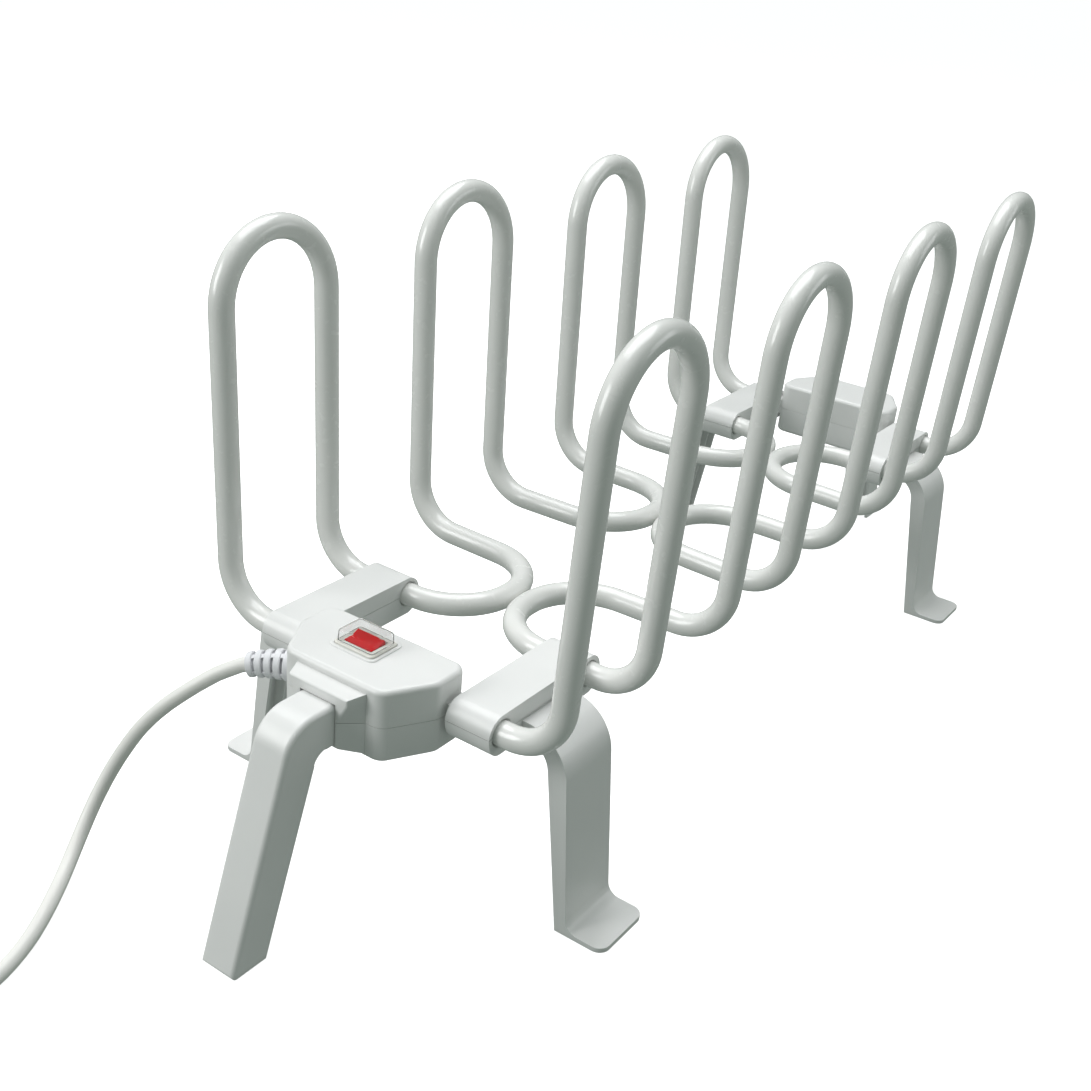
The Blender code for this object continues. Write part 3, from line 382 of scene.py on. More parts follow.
enamel = surface("white_enamel", tone(0.93, 0.93, 0.92), 0.24, 420, 0.00005, 0.05, 0.02,
                 Coat_Weight=0.5, Coat_Roughness=0.12)
# The last number of each white plastic and PVC below is painted shade darkened into its narrow gaps
plastic = surface("white_plastic", tone(0.932, 0.932, 0.928), 0.33, 1500, 0.00002, 0.05, 0.025,
                  0.25)
cream = surface("cream_plastic", tone(0.95, 0.94, 0.91), 0.34, 1500, 0.00002, 0.05, 0.02, 0.2)
pvc = surface("white_pvc", tone(0.95, 0.945, 0.93), 0.42, 1800, 0.00003, 0.06, 0.03, 0.2)
relief_pvc = surface("relief_pvc", tone(0.93, 0.93, 0.945), 0.40, 1800, 0.00002, 0.05, 0.03, 0.3)
red_lens = surface("red_lens", tone(0.84, 0.02, 0.06), 0.22, 600, 0.00001, 0.04, 0.10,
                   Specular_IOR_Level=0.05)
clear = surface("clear_cover", tone(0.98, 0.98, 0.98), 0.05, 500, 0.00002, 0.02, 0.02,
                Transmission_Weight=1.0, IOR=1.22)
brass = surface("brass", tone(0.86, 0.74, 0.45), 0.28, 700, 0.00001, 0.08, 0.08, metallic=1.0)
nickel = surface("nickel_pin", tone(0.80, 0.79, 0.76), 0.22, 700, 0.00001, 0.08, 0.06,
                 metallic=1.0)
zinc = surface("zinc_steel", tone(0.74, 0.75, 0.76), 0.32, 900, 0.00001, 0.08, 0.10, metallic=1.0)
nylon = surface("grey_nylon", tone(0.66, 0.67, 0.67), 0.5, 1200, 0.00002)
silicone = surface("silicone_cable", tone(0.58, 0.30, 0.22), 0.6, 1500, 0.00003)
tie_finish = surface("tie", tone(0.16, 0.16, 0.17), 0.6, 2600, 0.00006)


def keep(piece, finish, slot, *nodes, body="root"):
    """Finish a piece, let it ride on a body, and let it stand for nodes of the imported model."""
    piece.data.materials.clear()
    piece.data.materials.append(finish)
    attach(piece, body)
    if nodes:
        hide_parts(*nodes)
    return piece


def piece_from(bm, name, angle=32):
    """An object from a bmesh, its faces outward, smooth but for its sharp edges."""
    bm.normal_update()
    bmesh.ops.recalc_face_normals(bm, faces=bm.faces)
    mesh = bpy.data.meshes.new(name)
    bm.to_mesh(mesh)
    bm.free()
    mesh.shade_smooth()
    mesh.set_sharp_from_angle(angle=math.radians(angle))
    piece = bpy.data.objects.new(name, mesh)
    bpy.context.scene.collection.objects.link(piece)
    return piece


def copy_of(piece, name, mirror=()):
    """A copy of a piece, mirrored across the planes X = 0 or Y = 0 that the axes name."""
    bm = bmesh.new()
    bm.from_mesh(piece.data)
    for axis in mirror:
        mirrored(bm, axis)
    return piece_from(bm, name)


def rounded(corners, closed=False, step=BEND_STEP):
    """Points along corners of (point, radius), each corner replaced by an arc."""
    corners = [(Vector(point), radius) for point, radius in corners]
    if closed:
        triples = list(zip(corners[-1:] + corners[:-1], corners, corners[1:] + corners[:1]))
        points = []
    else:
        triples = list(zip(corners, corners[1:], corners[2:]))
        points = [corners[0][0]]
    for (before, _), (corner, radius), (after, _) in triples:
        arrive = (corner - before).normalized()
        leave = (after - corner).normalized()
        if radius == 0:
            points.append(corner)
            continue
        turn = arrive.angle(leave)
        side = (leave - arrive * arrive.dot(leave)).normalized()
        start = corner - arrive * radius * math.tan(turn / 2)
        count = max(3, round(turn / step))
        for index in range(count + 1):
            angle = turn * index / count
            points.append(
                start + side * radius * (1 - math.cos(angle)) + arrive * radius * math.sin(angle))
    if not closed:
        points.append(corners[-1][0])
    return [point for index, point in enumerate(points)
            if index == 0 or (point - points[index - 1]).length > SAME]


def smooth(route, spacing):
    """Even points along a smooth curve through a route's points."""
    route = [Vector(point) for point in route]
    ends = [route[0] * 2 - route[1]] + route + [route[-1] * 2 - route[-2]]
    fine = []
    for a, b, c, d in zip(ends, ends[1:], ends[2:], ends[3:]):
        for index in range(12):
            t = index / 12
            fine.append((b * 2 + (c - a) * t + (a * 2 - b * 5 + c * 4 - d) * t ** 2
                         + (b * 3 - a - c * 3 + d) * t ** 3) / 2)
    fine.append(route[-1])
    total = sum((b - a).length for a, b in zip(fine, fine[1:]))
    count = round(total / spacing)
    points = [fine[0]]
    run = 0
    for a, b in zip(fine, fine[1:]):
        run += (b - a).length
        if run >= total * len(points) / count and len(points) < count:
            points.append(b)
    return points + [fine[-1]]


def flat(corners, step=BEND_STEP):
    """A closed flat outline along corners of (x, y, radius), each corner replaced by an arc."""
    corners = [((x, y, 0), radius) for x, y, radius in corners]
    return [(point.x, point.y) for point in rounded(corners, True, step)]


def circle(bm, centre, across, beside, radius, sides):
    """New points round a centre, in the plane of two directions."""
    turns = (2 * math.pi * index / sides for index in range(sides))
    return [bm.verts.new(centre + across * radius * math.cos(turn)
                         + beside * radius * math.sin(turn)) for turn in turns]


def wall(bm, rings):
    """Faces between each ring of points and the next. A ring may be one point, repeated."""
    for first, second in zip(rings, rings[1:]):
        for index in range(len(first)):
            after = (index + 1) % len(first)
            corners = (first[index], first[after], second[after], second[index])
            bm.faces.new(dict.fromkeys(corners))


def solid(bm, rings):
    """The closed solid through rings of points, capped at both ends, its faces outward."""
    wall(bm, rings)
    bm.faces.new(rings[0][::-1])
    bm.faces.new(rings[-1])
    bm.normal_update()
    bmesh.ops.recalc_face_normals(bm, faces=bm.faces)
    return bm


def sweep(route, radius, sides):
    """A round bar along a route, closed at both ends, as a bmesh."""
    bm = bmesh.new()
    aims = [(b - a).normalized() for a, b in zip(route, route[1:])]
    aims = [aims[0]] + [(a + b).normalized() for a, b in zip(aims, aims[1:])] + [aims[-1]]
    across = aims[0].orthogonal().normalized()
    rings = []
    for point, aim in zip(route, aims):
        across = (across - aim * across.dot(aim)).normalized()
        rings.append(circle(bm, point, across, aim.cross(across), radius, sides))
    return solid(bm, rings)


def prism(outline, low, high, lift=lambda x, y, z: Vector((x, y, z))):
    """A flat outline extruded from low to high. lift says where its X, Y and height go."""
    bm = bmesh.new()
    rings = [[bm.verts.new(lift(x, y, level)) for x, y in outline] for level in (low, high)]
    return solid(bm, rings)


def along_y(x, z, level):
    """An outline in X and Z, extruded along -Y."""
    return Vector((x, -level, z))


def along_x(y, z, level):
    """An outline in -Y and Z, extruded along X."""
    return Vector((level, -y, z))


def down_y(x, y, level):
    """An outline in X and -Y, extruded upward."""
    return Vector((x, -y, level))


def bevel(bm, chosen, radius, segments=4, sharp=40):
    """Round the edges sharper than an angle, in degrees, whose two ends pass a test."""
    bm.normal_update()
    edges = [edge for edge in bm.edges
             if edge.calc_face_angle(0) > math.radians(sharp)
             and all(chosen(vert.co) for vert in edge.verts)]
    bmesh.ops.bevel(bm, geom=edges, offset=radius, segments=segments, profile=0.5,
                    affect="EDGES", clamp_overlap=True)
    return bm


def box(low, high):
    """A box between two corners, in any order, as a bmesh."""
    low, high = Vector(low), Vector(high)
    size = Vector(abs(b - a) for a, b in zip(low, high))
    bm = bmesh.new()
    bmesh.ops.create_cube(bm, size=1, matrix=Matrix.Translation((low + high) / 2)
                          @ Matrix.Diagonal((*size, 1)))
    return bm


def rod(start, end, radius, sides=32, end_radius=None):
    """A cylinder or a cone between two points, as a bmesh."""
    start, end = Vector(start), Vector(end)
    axis = end - start
    bm = bmesh.new()
    bmesh.ops.create_cone(
        bm, cap_ends=True, segments=sides, radius1=radius,
        radius2=radius if end_radius is None else end_radius, depth=axis.length,
        matrix=Matrix.Translation((start + end) / 2)
        @ axis.to_track_quat("Z", "Y").to_matrix().to_4x4())
    return bm


def turned(profile, root, aim, sides):
    """A closed solid turned from (distance along, radius) about an axis, as a bmesh."""
    bm = bmesh.new()
    across = aim.orthogonal().normalized()
    beside = aim.cross(across)
    rings = []
    for along, radius in profile:
        centre = root + aim * along
        if radius == 0:
            rings.append([bm.verts.new(centre)] * sides)
        else:
            rings.append(circle(bm, centre, across, beside, radius, sides))
    wall(bm, rings)
    return bm


def mirrored(bm, axis):
    """The bmesh mirrored across X = 0 or Y = 0, its faces still outward."""
    scale = [1, 1, 1, 1]
    scale[axis] = -1
    bm.transform(Matrix.Diagonal(scale))
    bm.normal_update()
    bmesh.ops.recalc_face_normals(bm, faces=bm.faces)
    return bm


def carve(piece, operation, *shapes):
    """Join shapes to a piece or cut them from it, for good."""
    for bm in shapes:
        other = piece_from(bm, "shape")
        modifier = piece.modifiers.new("carve", "BOOLEAN")
        modifier.operation = operation
        modifier.solver = "EXACT"
        modifier.object = other
        bpy.context.view_layer.update()
        result = piece.evaluated_get(bpy.context.evaluated_depsgraph_get())
        mesh = bpy.data.meshes.new_from_object(result)
        piece.modifiers.clear()
        piece.data = mesh
        bpy.data.objects.remove(other)
    return piece


def settle(piece, angle=32):
    """Weld a carved piece's loose points and shade its flat faces flat."""
    bm = bmesh.new()
    bm.from_mesh(piece.data)
    bmesh.ops.remove_doubles(bm, verts=bm.verts, dist=WELD)
    bmesh.ops.dissolve_degenerate(bm, edges=bm.edges, dist=WELD)
    bm.to_mesh(piece.data)
    bm.free()
    piece.data.shade_smooth()
    piece.data.set_sharp_from_angle(angle=math.radians(angle))
    weighted = piece.modifiers.new("normals", "WEIGHTED_NORMAL")
    weighted.keep_sharp = True
    return piece


def make_camera():
    """The camera at the viewing angle of a person standing at the front right."""
    camera = bpy.data.objects.new("camera", bpy.data.cameras.new("camera"))
    camera.data.lens = CAMERA_LENS
    camera.data.clip_start = 0.01
    camera.matrix_world = (
        Matrix.Translation(CAMERA_AT) @ Matrix.Rotation(CAMERA_YAW, 4, "Z")
        @ Matrix.Rotation(math.pi / 2 - CAMERA_PITCH, 4, "X")
        @ Matrix.Rotation(CAMERA_ROLL, 4, "Z"))
    bpy.context.scene.collection.objects.link(camera)
    bpy.context.scene.camera = camera


def coil_point(turns, radius, layer):
    """The point of the coil's centre line at a number of turns, a radius and a layer."""
    angle = -2 * math.pi * turns
    return COIL_CENTRE + Vector((radius * math.cos(angle), radius * math.sin(angle),
                                 COIL_LAYER_Z + COIL_LAYER_RISE * layer))


def coil_route():
    """The stored coil's centre line, from its first outer turn to where the plug's tail starts."""
    points = []
    for (start, radius, layer), (end, end_radius, end_layer) in zip(COIL_TRACK, COIL_TRACK[1:]):
        steps = round((end - start) * COIL_STEPS)
        for index in range(steps):
            share = index / steps
            rise = share * share * (3 - 2 * share)
            points.append(coil_point(start + (end - start) * share,
                                     radius + (end_radius - radius) * share,
                                     layer + (end_layer - layer) * rise))
    return points + [coil_point(*COIL_TRACK[-1])]


def tube_route():
    """The right-hand tube's centre line, from its front end to its rear end."""
    lean = math.tan(LOOP_LEAN) * (LOOP_TOP - TUBE_Z)
    corners = [((TUBE_END_X, FIRST_Y, TUBE_Z), 0)]
    for loop in range(LOOPS):
        near = FIRST_Y + loop * LOOP_PITCH
        far = near + LOOP_WIDTH
        if loop:
            corners.append(((TURN_X, near - TURN_NARROWING, TUBE_Z), TURN_BEND))
        corners += [
            ((LOOP_X, near, TUBE_Z), FOOT_BEND),
            ((LOOP_X + lean, near, LOOP_TOP), ARCH_BEND),
            ((LOOP_X + lean, far, LOOP_TOP), ARCH_BEND),
            ((LOOP_X, far, TUBE_Z), FOOT_BEND),
        ]
        if loop < LOOPS - 1:
            corners.append(((TURN_X, far + TURN_NARROWING, TUBE_Z), TURN_BEND))
    corners.append(((TUBE_END_X, -FIRST_Y, TUBE_Z), 0))
    return rounded(corners)


def make_tubes():
    """The two enamelled tubes."""
    right = piece_from(sweep(tube_route(), TUBE_RADIUS, TUBE_SIDES), "right_tube_finish", 50)
    left = copy_of(right, "left_tube_finish", (0,))
    keep(right, enamel, "white_enamel", "right_heating_tube")
    keep(left, enamel, "white_enamel", "left_heating_tube")


def housing_outline(inset=0.0):
    """The housing seen from above, as X and -Y. The inset shrinks it, least at the shoulders."""
    nose = HOUSING_NOSE_HALF - inset * 0.75
    half = HOUSING_HALF - inset
    shoulder = HOUSING_SHOULDER - inset * 0.3
    front, back = HOUSING_FRONT - inset, HOUSING_BACK + inset
    corner = HOUSING_CORNER - inset / 2
    points = [(nose, front), (half, shoulder), (half, back), (-half, back),
              (-half, shoulder), (-nose, front)]
    return flat([(x, y, corner) for x, y in points], math.radians(9))


def bar(side, upper):
    """One half of a clamp bar, its outer rim and its seam rounded."""
    height = BAR_RADIUS if upper else -BAR_DEPTH
    outline = []
    for y, toward in ((BAR_FIRST_Y, 1), (BAR_SECOND_Y, -1)):
        quarter = []
        for index in range(BAR_STEPS + 1):
            angle = math.pi / 2 * index / BAR_STEPS
            quarter.append((y + toward * BAR_RADIUS * math.cos(angle),
                            PART_Z + height * max(math.sin(angle), GAP / 2 / BAR_RADIUS)))
        outline += quarter[::toward]
    bm = prism(outline, BAR_INNER, BAR_OUTER, along_x)
    seam = GAP / 2 + NEAR
    bevel(bm, lambda p: abs(p.z - PART_Z) > seam, BAR_RIM, 5)
    bevel(bm, lambda p: abs(p.z - PART_Z) < seam and p.x > BAR_INNER + CLEAR, BAR_SEAM, 2)
    return bm if side == 1 else mirrored(bm, 0)


def pass_rod(side, row, radius, start, end, end_radius=None):
    """A rod along the first tube pass across a clamp bar, row 0, or along the second, row 1."""
    slope = TURN_NARROWING / (LOOP_X - TURN_X) * row
    base = FIRST_Y + row * LOOP_WIDTH
    ends = [(x, base + slope * (LOOP_X - x), TUBE_Z) for x in (start, end)]
    bm = rod(*ends, radius, 48, end_radius)
    return bm if side == 1 else mirrored(bm, 0)


def boss(upper):
    """The socket that the centre leg plugs into: wide at its top, as narrow as the leg below."""
    end_z = BOSS_TOP if upper else BOSS_BOTTOM
    part_z = PART_Z + (GAP / 2 if upper else -GAP / 2)
    levels = [part_z, BOSS_NARROW_Z[0], BOSS_NARROW_Z[1], end_z] if upper else [part_z, end_z]
    wall_y, root_y = HOUSING_FRONT - BOSS_ROOT, HOUSING_FRONT + GAP
    rings = []
    bm = bmesh.new()
    for level in levels:
        share = (level - BOSS_NARROW_Z[0]) / (BOSS_NARROW_Z[1] - BOSS_NARROW_Z[0])
        share = min(1, max(0, share))
        front = BOSS_LOW_HALF + (BOSS_HALF - BOSS_LOW_HALF) * share
        half_outline = [(front, BOSS_FRONT), (BOSS_WALL_HALF, root_y), (BOSS_WALL_HALF, wall_y)]
        outline = half_outline + [(-x, y) for x, y in half_outline[::-1]]
        ring = []
        for x, y in outline:
            out = (y - wall_y) / (BOSS_FRONT - wall_y)
            height = level
            if level == BOSS_TOP:
                height += BOSS_RISE - BOSS_SLOPE * out
            elif level == BOSS_BOTTOM:
                height -= BOSS_LOW_SLOPE * (1 - out)
            ring.append(bm.verts.new((x, -y, height)))
        rings.append(ring)
    solid(bm, rings)
    return bevel(bm, lambda p: -p.y > root_y + CLEAR and abs(p.z - part_z) > NEAR, BOSS_RIM, 5, 24)


def shell(name, upper, front):
    """A housing's upper or lower shell with its half clamp bars, at the front end."""
    sign = 1 if upper else -1
    part_z = PART_Z + sign * GAP / 2
    outer_z = HOUSING_TOP if upper else HOUSING_BOTTOM
    body = prism(housing_outline(), *sorted((part_z, outer_z)), down_y)
    bevel(body, lambda p: abs(p.z - outer_z) < NEAR, HOUSING_RIM, 6)
    if not upper:
        bevel(body, lambda p: abs(p.z - part_z) < NEAR, HOUSING_SEAM, 2)
    piece = piece_from(body, name)
    if not upper:
        lip = prism(housing_outline(LIP_INSET), part_z - CLEAR, part_z + GAP * 0.9, down_y)
        carve(piece, "UNION", lip)
    for side in (-1, 1):
        carve(piece, "UNION", bar(side, upper),
              box((side * BRIDGE_X[0], -BRIDGE_Y[0], part_z),
                  (side * BRIDGE_X[1], -BRIDGE_Y[1], part_z + sign * BRIDGE_HEIGHT)))
    carve(piece, "UNION", boss(upper))
    inner_z = part_z - sign * CLEAR
    hollow = prism(housing_outline(WALL), *sorted((inner_z, outer_z - sign * WALL)), down_y)
    carve(piece, "DIFFERENCE", hollow)
    for side in (-1, 1):
        cut_bar(piece, side, inner_z, part_z + sign * (BAR_RADIUS - WALL))
    half = CENTRE_LEG_WIDTH / 2 + GAP
    carve(piece, "DIFFERENCE", box((-half, -BOSS_FRONT - CLEAR, CENTRE_LEG_UNDER - GAP),
                                   (half, CLEAR - SPIGOT_END, CENTRE_LEG_TOP + GAP)))
    if front:
        reach = CORD_AIM * CORD_HOLE_HALF
        carve(piece, "DIFFERENCE", rod(CORD_ROOT - reach, CORD_ROOT + reach, CORD_HOLE_RADIUS))
        if upper:
            add_switch_seat(piece)
            opening = Vector((*OPENING_SIZE, 4 * WALL)) / 2
            middle = Vector((SWITCH_CENTRE.x, SWITCH_CENTRE.y, HOUSING_TOP))
            carve(piece, "DIFFERENCE", box(middle - opening, middle + opening))
    return piece


def cut_bar(piece, side, inner_z, end_z):
    """The hollow of a half clamp bar, its channels for the two tube passes and the leg's slot."""
    outer_mouth = BAR_OUTER - MOUTH_DEPTH, BAR_OUTER + CLEAR
    inner_mouth = BAR_INNER - CLEAR, BAR_INNER + MOUTH_DEPTH
    half = SIDE_LEG_WIDTH / 2 + GAP
    carve(piece, "DIFFERENCE",
          box((side * (BAR_INNER + WALL), -BAR_HOLLOW_Y[0], inner_z),
              (side * (BAR_OUTER - WALL), -BAR_HOLLOW_Y[1], end_z)),
          pass_rod(side, 0, TUBE_RADIUS + GAP, TUBE_END_X - 2 * GAP, BAR_CUT[1]),
          pass_rod(side, 0, TUBE_RADIUS, *outer_mouth, MOUTH_RADIUS),
          pass_rod(side, 1, TUBE_RADIUS + GAP, *BAR_CUT),
          pass_rod(side, 1, TUBE_RADIUS, *outer_mouth, MOUTH_RADIUS),
          pass_rod(side, 1, MOUTH_RADIUS, *inner_mouth, TUBE_RADIUS),
          box((side * (TONGUE_END - CLEAR), -SIDE_LEG_Y - half, SIDE_LEG_UNDER - GAP),
              (side * BAR_CUT[1], half - SIDE_LEG_Y, SIDE_LEG_TOP + GAP)))


def add_switch_seat(piece):
    """The low raised seat moulded round the switch's bezel."""
    size = bezel_high - bezel_low
    top = HOUSING_TOP + SEAT_HEIGHT
    seat = centred((size.x + SEAT_WIDTH, size.y + SEAT_WIDTH), HOUSING_TOP - WALL / 2, top,
                   SEAT_CORNER)
    bevel(seat, lambda p: p.z > top - NEAR, SEAT_RIM, 4)
    carve(piece, "UNION", seat)
    carve(piece, "DIFFERENCE", centred((size.x + 2 * GAP, size.y + 2 * GAP), HOUSING_TOP,
                                       top + CLEAR, BEZEL_CORNER))


def make_shells():
    """The four housing shells."""
    for upper in (True, False):
        half = "upper" if upper else "lower"
        for end in ("front", "rear"):
            node = f"{end}_{half}_shell"
            piece = shell(f"{node}_finish", upper, end == "front")
            if not upper:
                sink_screws(piece)
            if end == "rear":
                turned_over = copy_of(piece, "turned", (1,))
                piece.data = turned_over.data
                bpy.data.objects.remove(turned_over)
            keep(settle(piece), plastic, "white_plastic", node)


def sink_screws(piece):
    """The posts, wells and holes in a front lower shell for the screws that close and hold it."""
    below = HOUSING_BOTTOM - CLEAR
    screws = [(f"front_shell_screw_{index}", PART_Z + CLEAR) for index in range(1, 5)]
    for name, hole_top in screws + [("front_centre_leg_screw", CENTRE_HOLE_TOP)]:
        low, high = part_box(name)
        x, y = (low.x + high.x) / 2, (low.y + high.y) / 2
        if "shell" in name:
            carve(piece, "UNION",
                  rod((x, y, HOUSING_BOTTOM + CLEAR), (x, y, PART_Z - GAP / 2), POST_RADIUS))
        carve(piece, "DIFFERENCE", rod((x, y, below), (x, y, low.z + WELL_FLOOR), WELL_RADIUS),
              rod((x, y, below), (x, y, hole_top), HOLE_RADIUS))
    low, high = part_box("front_right_leg_screw")
    x, y = (low.x + high.x) / 2, (low.y + high.y) / 2
    for side in (-1, 1):
        ends = [(x * side, y, z) for z in SIDE_HOLE_Z]
        carve(piece, "DIFFERENCE", rod(*ends, HOLE_RADIUS))


def side_leg():
    """The front right leg, its outer edges soft and its inner side an open ribbed channel."""
    top = SIDE_LEG_TOP
    outer_top = SIDE_LEG_SOLE - SIDE_LEG_SPLAY * top
    inner_top = SIDE_LEG_SOLE_INNER - SIDE_LEG_INNER_SPLAY * SIDE_LEG_UNDER
    flange_x = SIDE_LEG_SOLE - SIDE_LEG_SPLAY * SIDE_LEG_FLANGE
    outline = flat([
        (TONGUE_END, top, 0),
        (outer_top, top, SIDE_LEG_BEND),
        (flange_x, SIDE_LEG_FLANGE, SIDE_LEG_ANKLE),
        (SIDE_LEG_TOE, SIDE_LEG_FLANGE, 0),
        (SIDE_LEG_TOE, 0, 0),
        (SIDE_LEG_SOLE_INNER, 0, 0),
        (inner_top, SIDE_LEG_UNDER, SIDE_LEG_INNER_BEND),
        (TONGUE_END, SIDE_LEG_UNDER, 0)])
    half = SIDE_LEG_WIDTH / 2
    bm = prism(outline, SIDE_LEG_Y - half, SIDE_LEG_Y + half, along_y)
    corners = [edge for edge in bm.edges
               if all(vert.co.x > SIDE_LEG_TOE - NEAR for vert in edge.verts)
               and abs(edge.verts[0].co.z - edge.verts[1].co.z) > CLEAR]
    bmesh.ops.bevel(bm, geom=corners, offset=SIDE_LEG_CORNER, segments=10, profile=0.5,
                    affect="EDGES")
    middle = (SIDE_LEG_TOP + SIDE_LEG_UNDER) / 2

    def outside(p):
        """Whether a point is on the leg's outer skin, from the bar to the toe."""
        return (p.x > BAR_OUTER + 2 * CLEAR and p.z > CLEAR
                and (p.z > middle or p.x > flange_x - 4 * CLEAR - SIDE_LEG_SPLAY * p.z))

    bevel(bm, outside, SIDE_LEG_EDGE, 4)
    leg = piece_from(bm, "side_leg")
    skin = SIDE_LEG_WALL
    pocket = flat([
        (BAR_OUTER + 3 * CLEAR, top - skin, 0),
        (outer_top - skin, top - skin, SIDE_LEG_BEND - skin),
        (flange_x - skin, SIDE_LEG_FLANGE, 0),
        (BAR_OUTER + 3 * CLEAR, SIDE_LEG_FLANGE, 0)])
    width = (SIDE_LEG_WIDTH - 2 * skin + SIDE_LEG_RIB) / SIDE_LEG_POCKETS - SIDE_LEG_RIB
    for index in range(SIDE_LEG_POCKETS):
        low = SIDE_LEG_Y - half + skin + index * (width + SIDE_LEG_RIB)
        carve(leg, "DIFFERENCE", prism(pocket, low, low + width, along_y))
    return settle(leg)


def centre_leg():
    """The front centre leg, a box section with soft edges, open on its inner side."""
    skin = CENTRE_LEG_WALL
    outer_top = CENTRE_LEG_TOE - CENTRE_LEG_SPLAY * CENTRE_LEG_TOP
    inner_top = CENTRE_LEG_HEEL - CENTRE_LEG_INNER_SPLAY * CENTRE_LEG_UNDER
    outline = flat([
        (SPIGOT_END, CENTRE_LEG_TOP, 0),
        (outer_top, CENTRE_LEG_TOP, CENTRE_LEG_BEND),
        (CENTRE_LEG_TOE, 0, 0),
        (CENTRE_LEG_HEEL, 0, 0),
        (inner_top, CENTRE_LEG_UNDER, CENTRE_LEG_INNER_BEND),
        (SPIGOT_END, CENTRE_LEG_UNDER, 0)])
    half = CENTRE_LEG_WIDTH / 2
    bm = prism(outline, -half, half, along_x)
    middle = (CENTRE_LEG_TOP + CENTRE_LEG_UNDER) / 2

    def outside(p):
        """Whether a point is on the leg's front face and clear of the boss."""
        return (-p.y > BOSS_FRONT - 2 * CLEAR or -p.y < SPIGOT_END + CLEAR) and (
            p.z > middle or -p.y > CENTRE_LEG_FRONT - CENTRE_LEG_SPLAY * p.z)

    bevel(bm, outside, CENTRE_LEG_EDGE, 6)
    bevel(bm, lambda p: not outside(p) and -p.y > BOSS_FRONT + CLEAR and p.z > CLEAR,
          CENTRE_LEG_BACK_EDGE, 2)
    leg = piece_from(bm, "centre_leg")
    pocket = flat([
        (BOSS_FRONT + 4 * CLEAR, CENTRE_LEG_TOP - skin, 0),
        (outer_top - skin, CENTRE_LEG_TOP - skin, CENTRE_LEG_POCKET_BEND),
        (CENTRE_LEG_TOE + CENTRE_LEG_SPLAY * skin - skin, -skin, 0),
        (BOSS_FRONT + 4 * CLEAR, -skin, 0)])
    carve(leg, "DIFFERENCE", prism(pocket, -half + skin, half - skin, along_x))
    return settle(leg)


def make_legs():
    """Four side legs and two centre legs."""
    first = side_leg()
    for end, turn_y in (("front", ()), ("rear", (1,))):
        for side, turn_x in (("right", ()), ("left", (0,))):
            node = f"{end}_{side}_side_leg"
            keep(settle(copy_of(first, f"{node}_finish", turn_x + turn_y)), plastic,
                 "white_plastic", node)
    bpy.data.objects.remove(first)
    first = centre_leg()
    for end, turn_y in (("front", ()), ("rear", (1,))):
        node = f"{end}_centre_leg"
        keep(settle(copy_of(first, f"{node}_finish", turn_y)), plastic, "white_plastic", node)
    bpy.data.objects.remove(first)


def centred(size, low, high, corner):
    """A block with rounded upright corners about the switch's centre, as a bmesh."""
    half_x, half_y = size[0] / 2, size[1] / 2
    corners = [(SWITCH_CENTRE.x + sx * half_x, SWITCH_CENTRE.y + sy * half_y, corner)
               for sx, sy in ((-1, -1), (1, -1), (1, 1), (-1, 1))]
    return prism(flat(corners, math.radians(15)), low, high)


def trunnion(half_length, radius):
    """The rocker's pin or the bore that holds it, as a bmesh."""
    reach = Vector((half_length, 0, 0))
    return rod(ROCKER_PIVOT - reach, ROCKER_PIVOT + reach, radius)


def make_switch_body():
    """The switch's bezel and body in one piece, with the well that the rocker sits in."""
    top = bezel_high.z
    seat = HOUSING_TOP + GAP
    rim = centred(bezel_high - bezel_low, seat, top, BEZEL_CORNER)
    bevel(rim, lambda p: p.z > top - NEAR, BEZEL_RIM, 4)
    body = piece_from(rim, "switch_body_finish")
    carve(body, "UNION", centred(BODY_SIZE, bezel_low.z, seat + CLEAR / 2, BODY_CORNER))
    carve(body, "DIFFERENCE", centred(WELL_SIZE, top - WELL_DEPTH, top + CLEAR, WELL_CORNER))
    carve(body, "DIFFERENCE", trunnion(BORE_HALF, TRUNNION_RADIUS + GAP))
    keep(settle(body), cream, "cream_plastic", "switch_body")


def make_rocker():
    """The red rocker, dished along its top, with its pin."""
    half = ROCKER_HALF_DEPTH
    outline = flat([
        (-half, ROCKER_END, ROCKER_EDGE), (0, ROCKER_MIDDLE, ROCKER_DIP),
        (half, ROCKER_END, ROCKER_EDGE), (half, -ROCKER_SKIRT, 0),
        (half / 2, -ROCKER_KEEL, 0), (-half / 2, -ROCKER_KEEL, 0), (-half, -ROCKER_SKIRT, 0)])
    rocker = prism(outline, -ROCKER_HALF_LENGTH, ROCKER_HALF_LENGTH, along_x)
    bevel(rocker, lambda p: p.z > ROCKER_MIDDLE / 2, ROCKER_EDGE, 3, 30)
    rocker.transform(Matrix.Translation(ROCKER_PIVOT) @ Matrix.Rotation(ROCKER_TILT, 4, "X"))
    rocker = piece_from(rocker, "switch_rocker_finish")
    carve(rocker, "UNION", trunnion(TRUNNION_HALF, TRUNNION_RADIUS))
    keep(settle(rocker), red_lens, "red_lens", "switch_rocker", body="rocker")


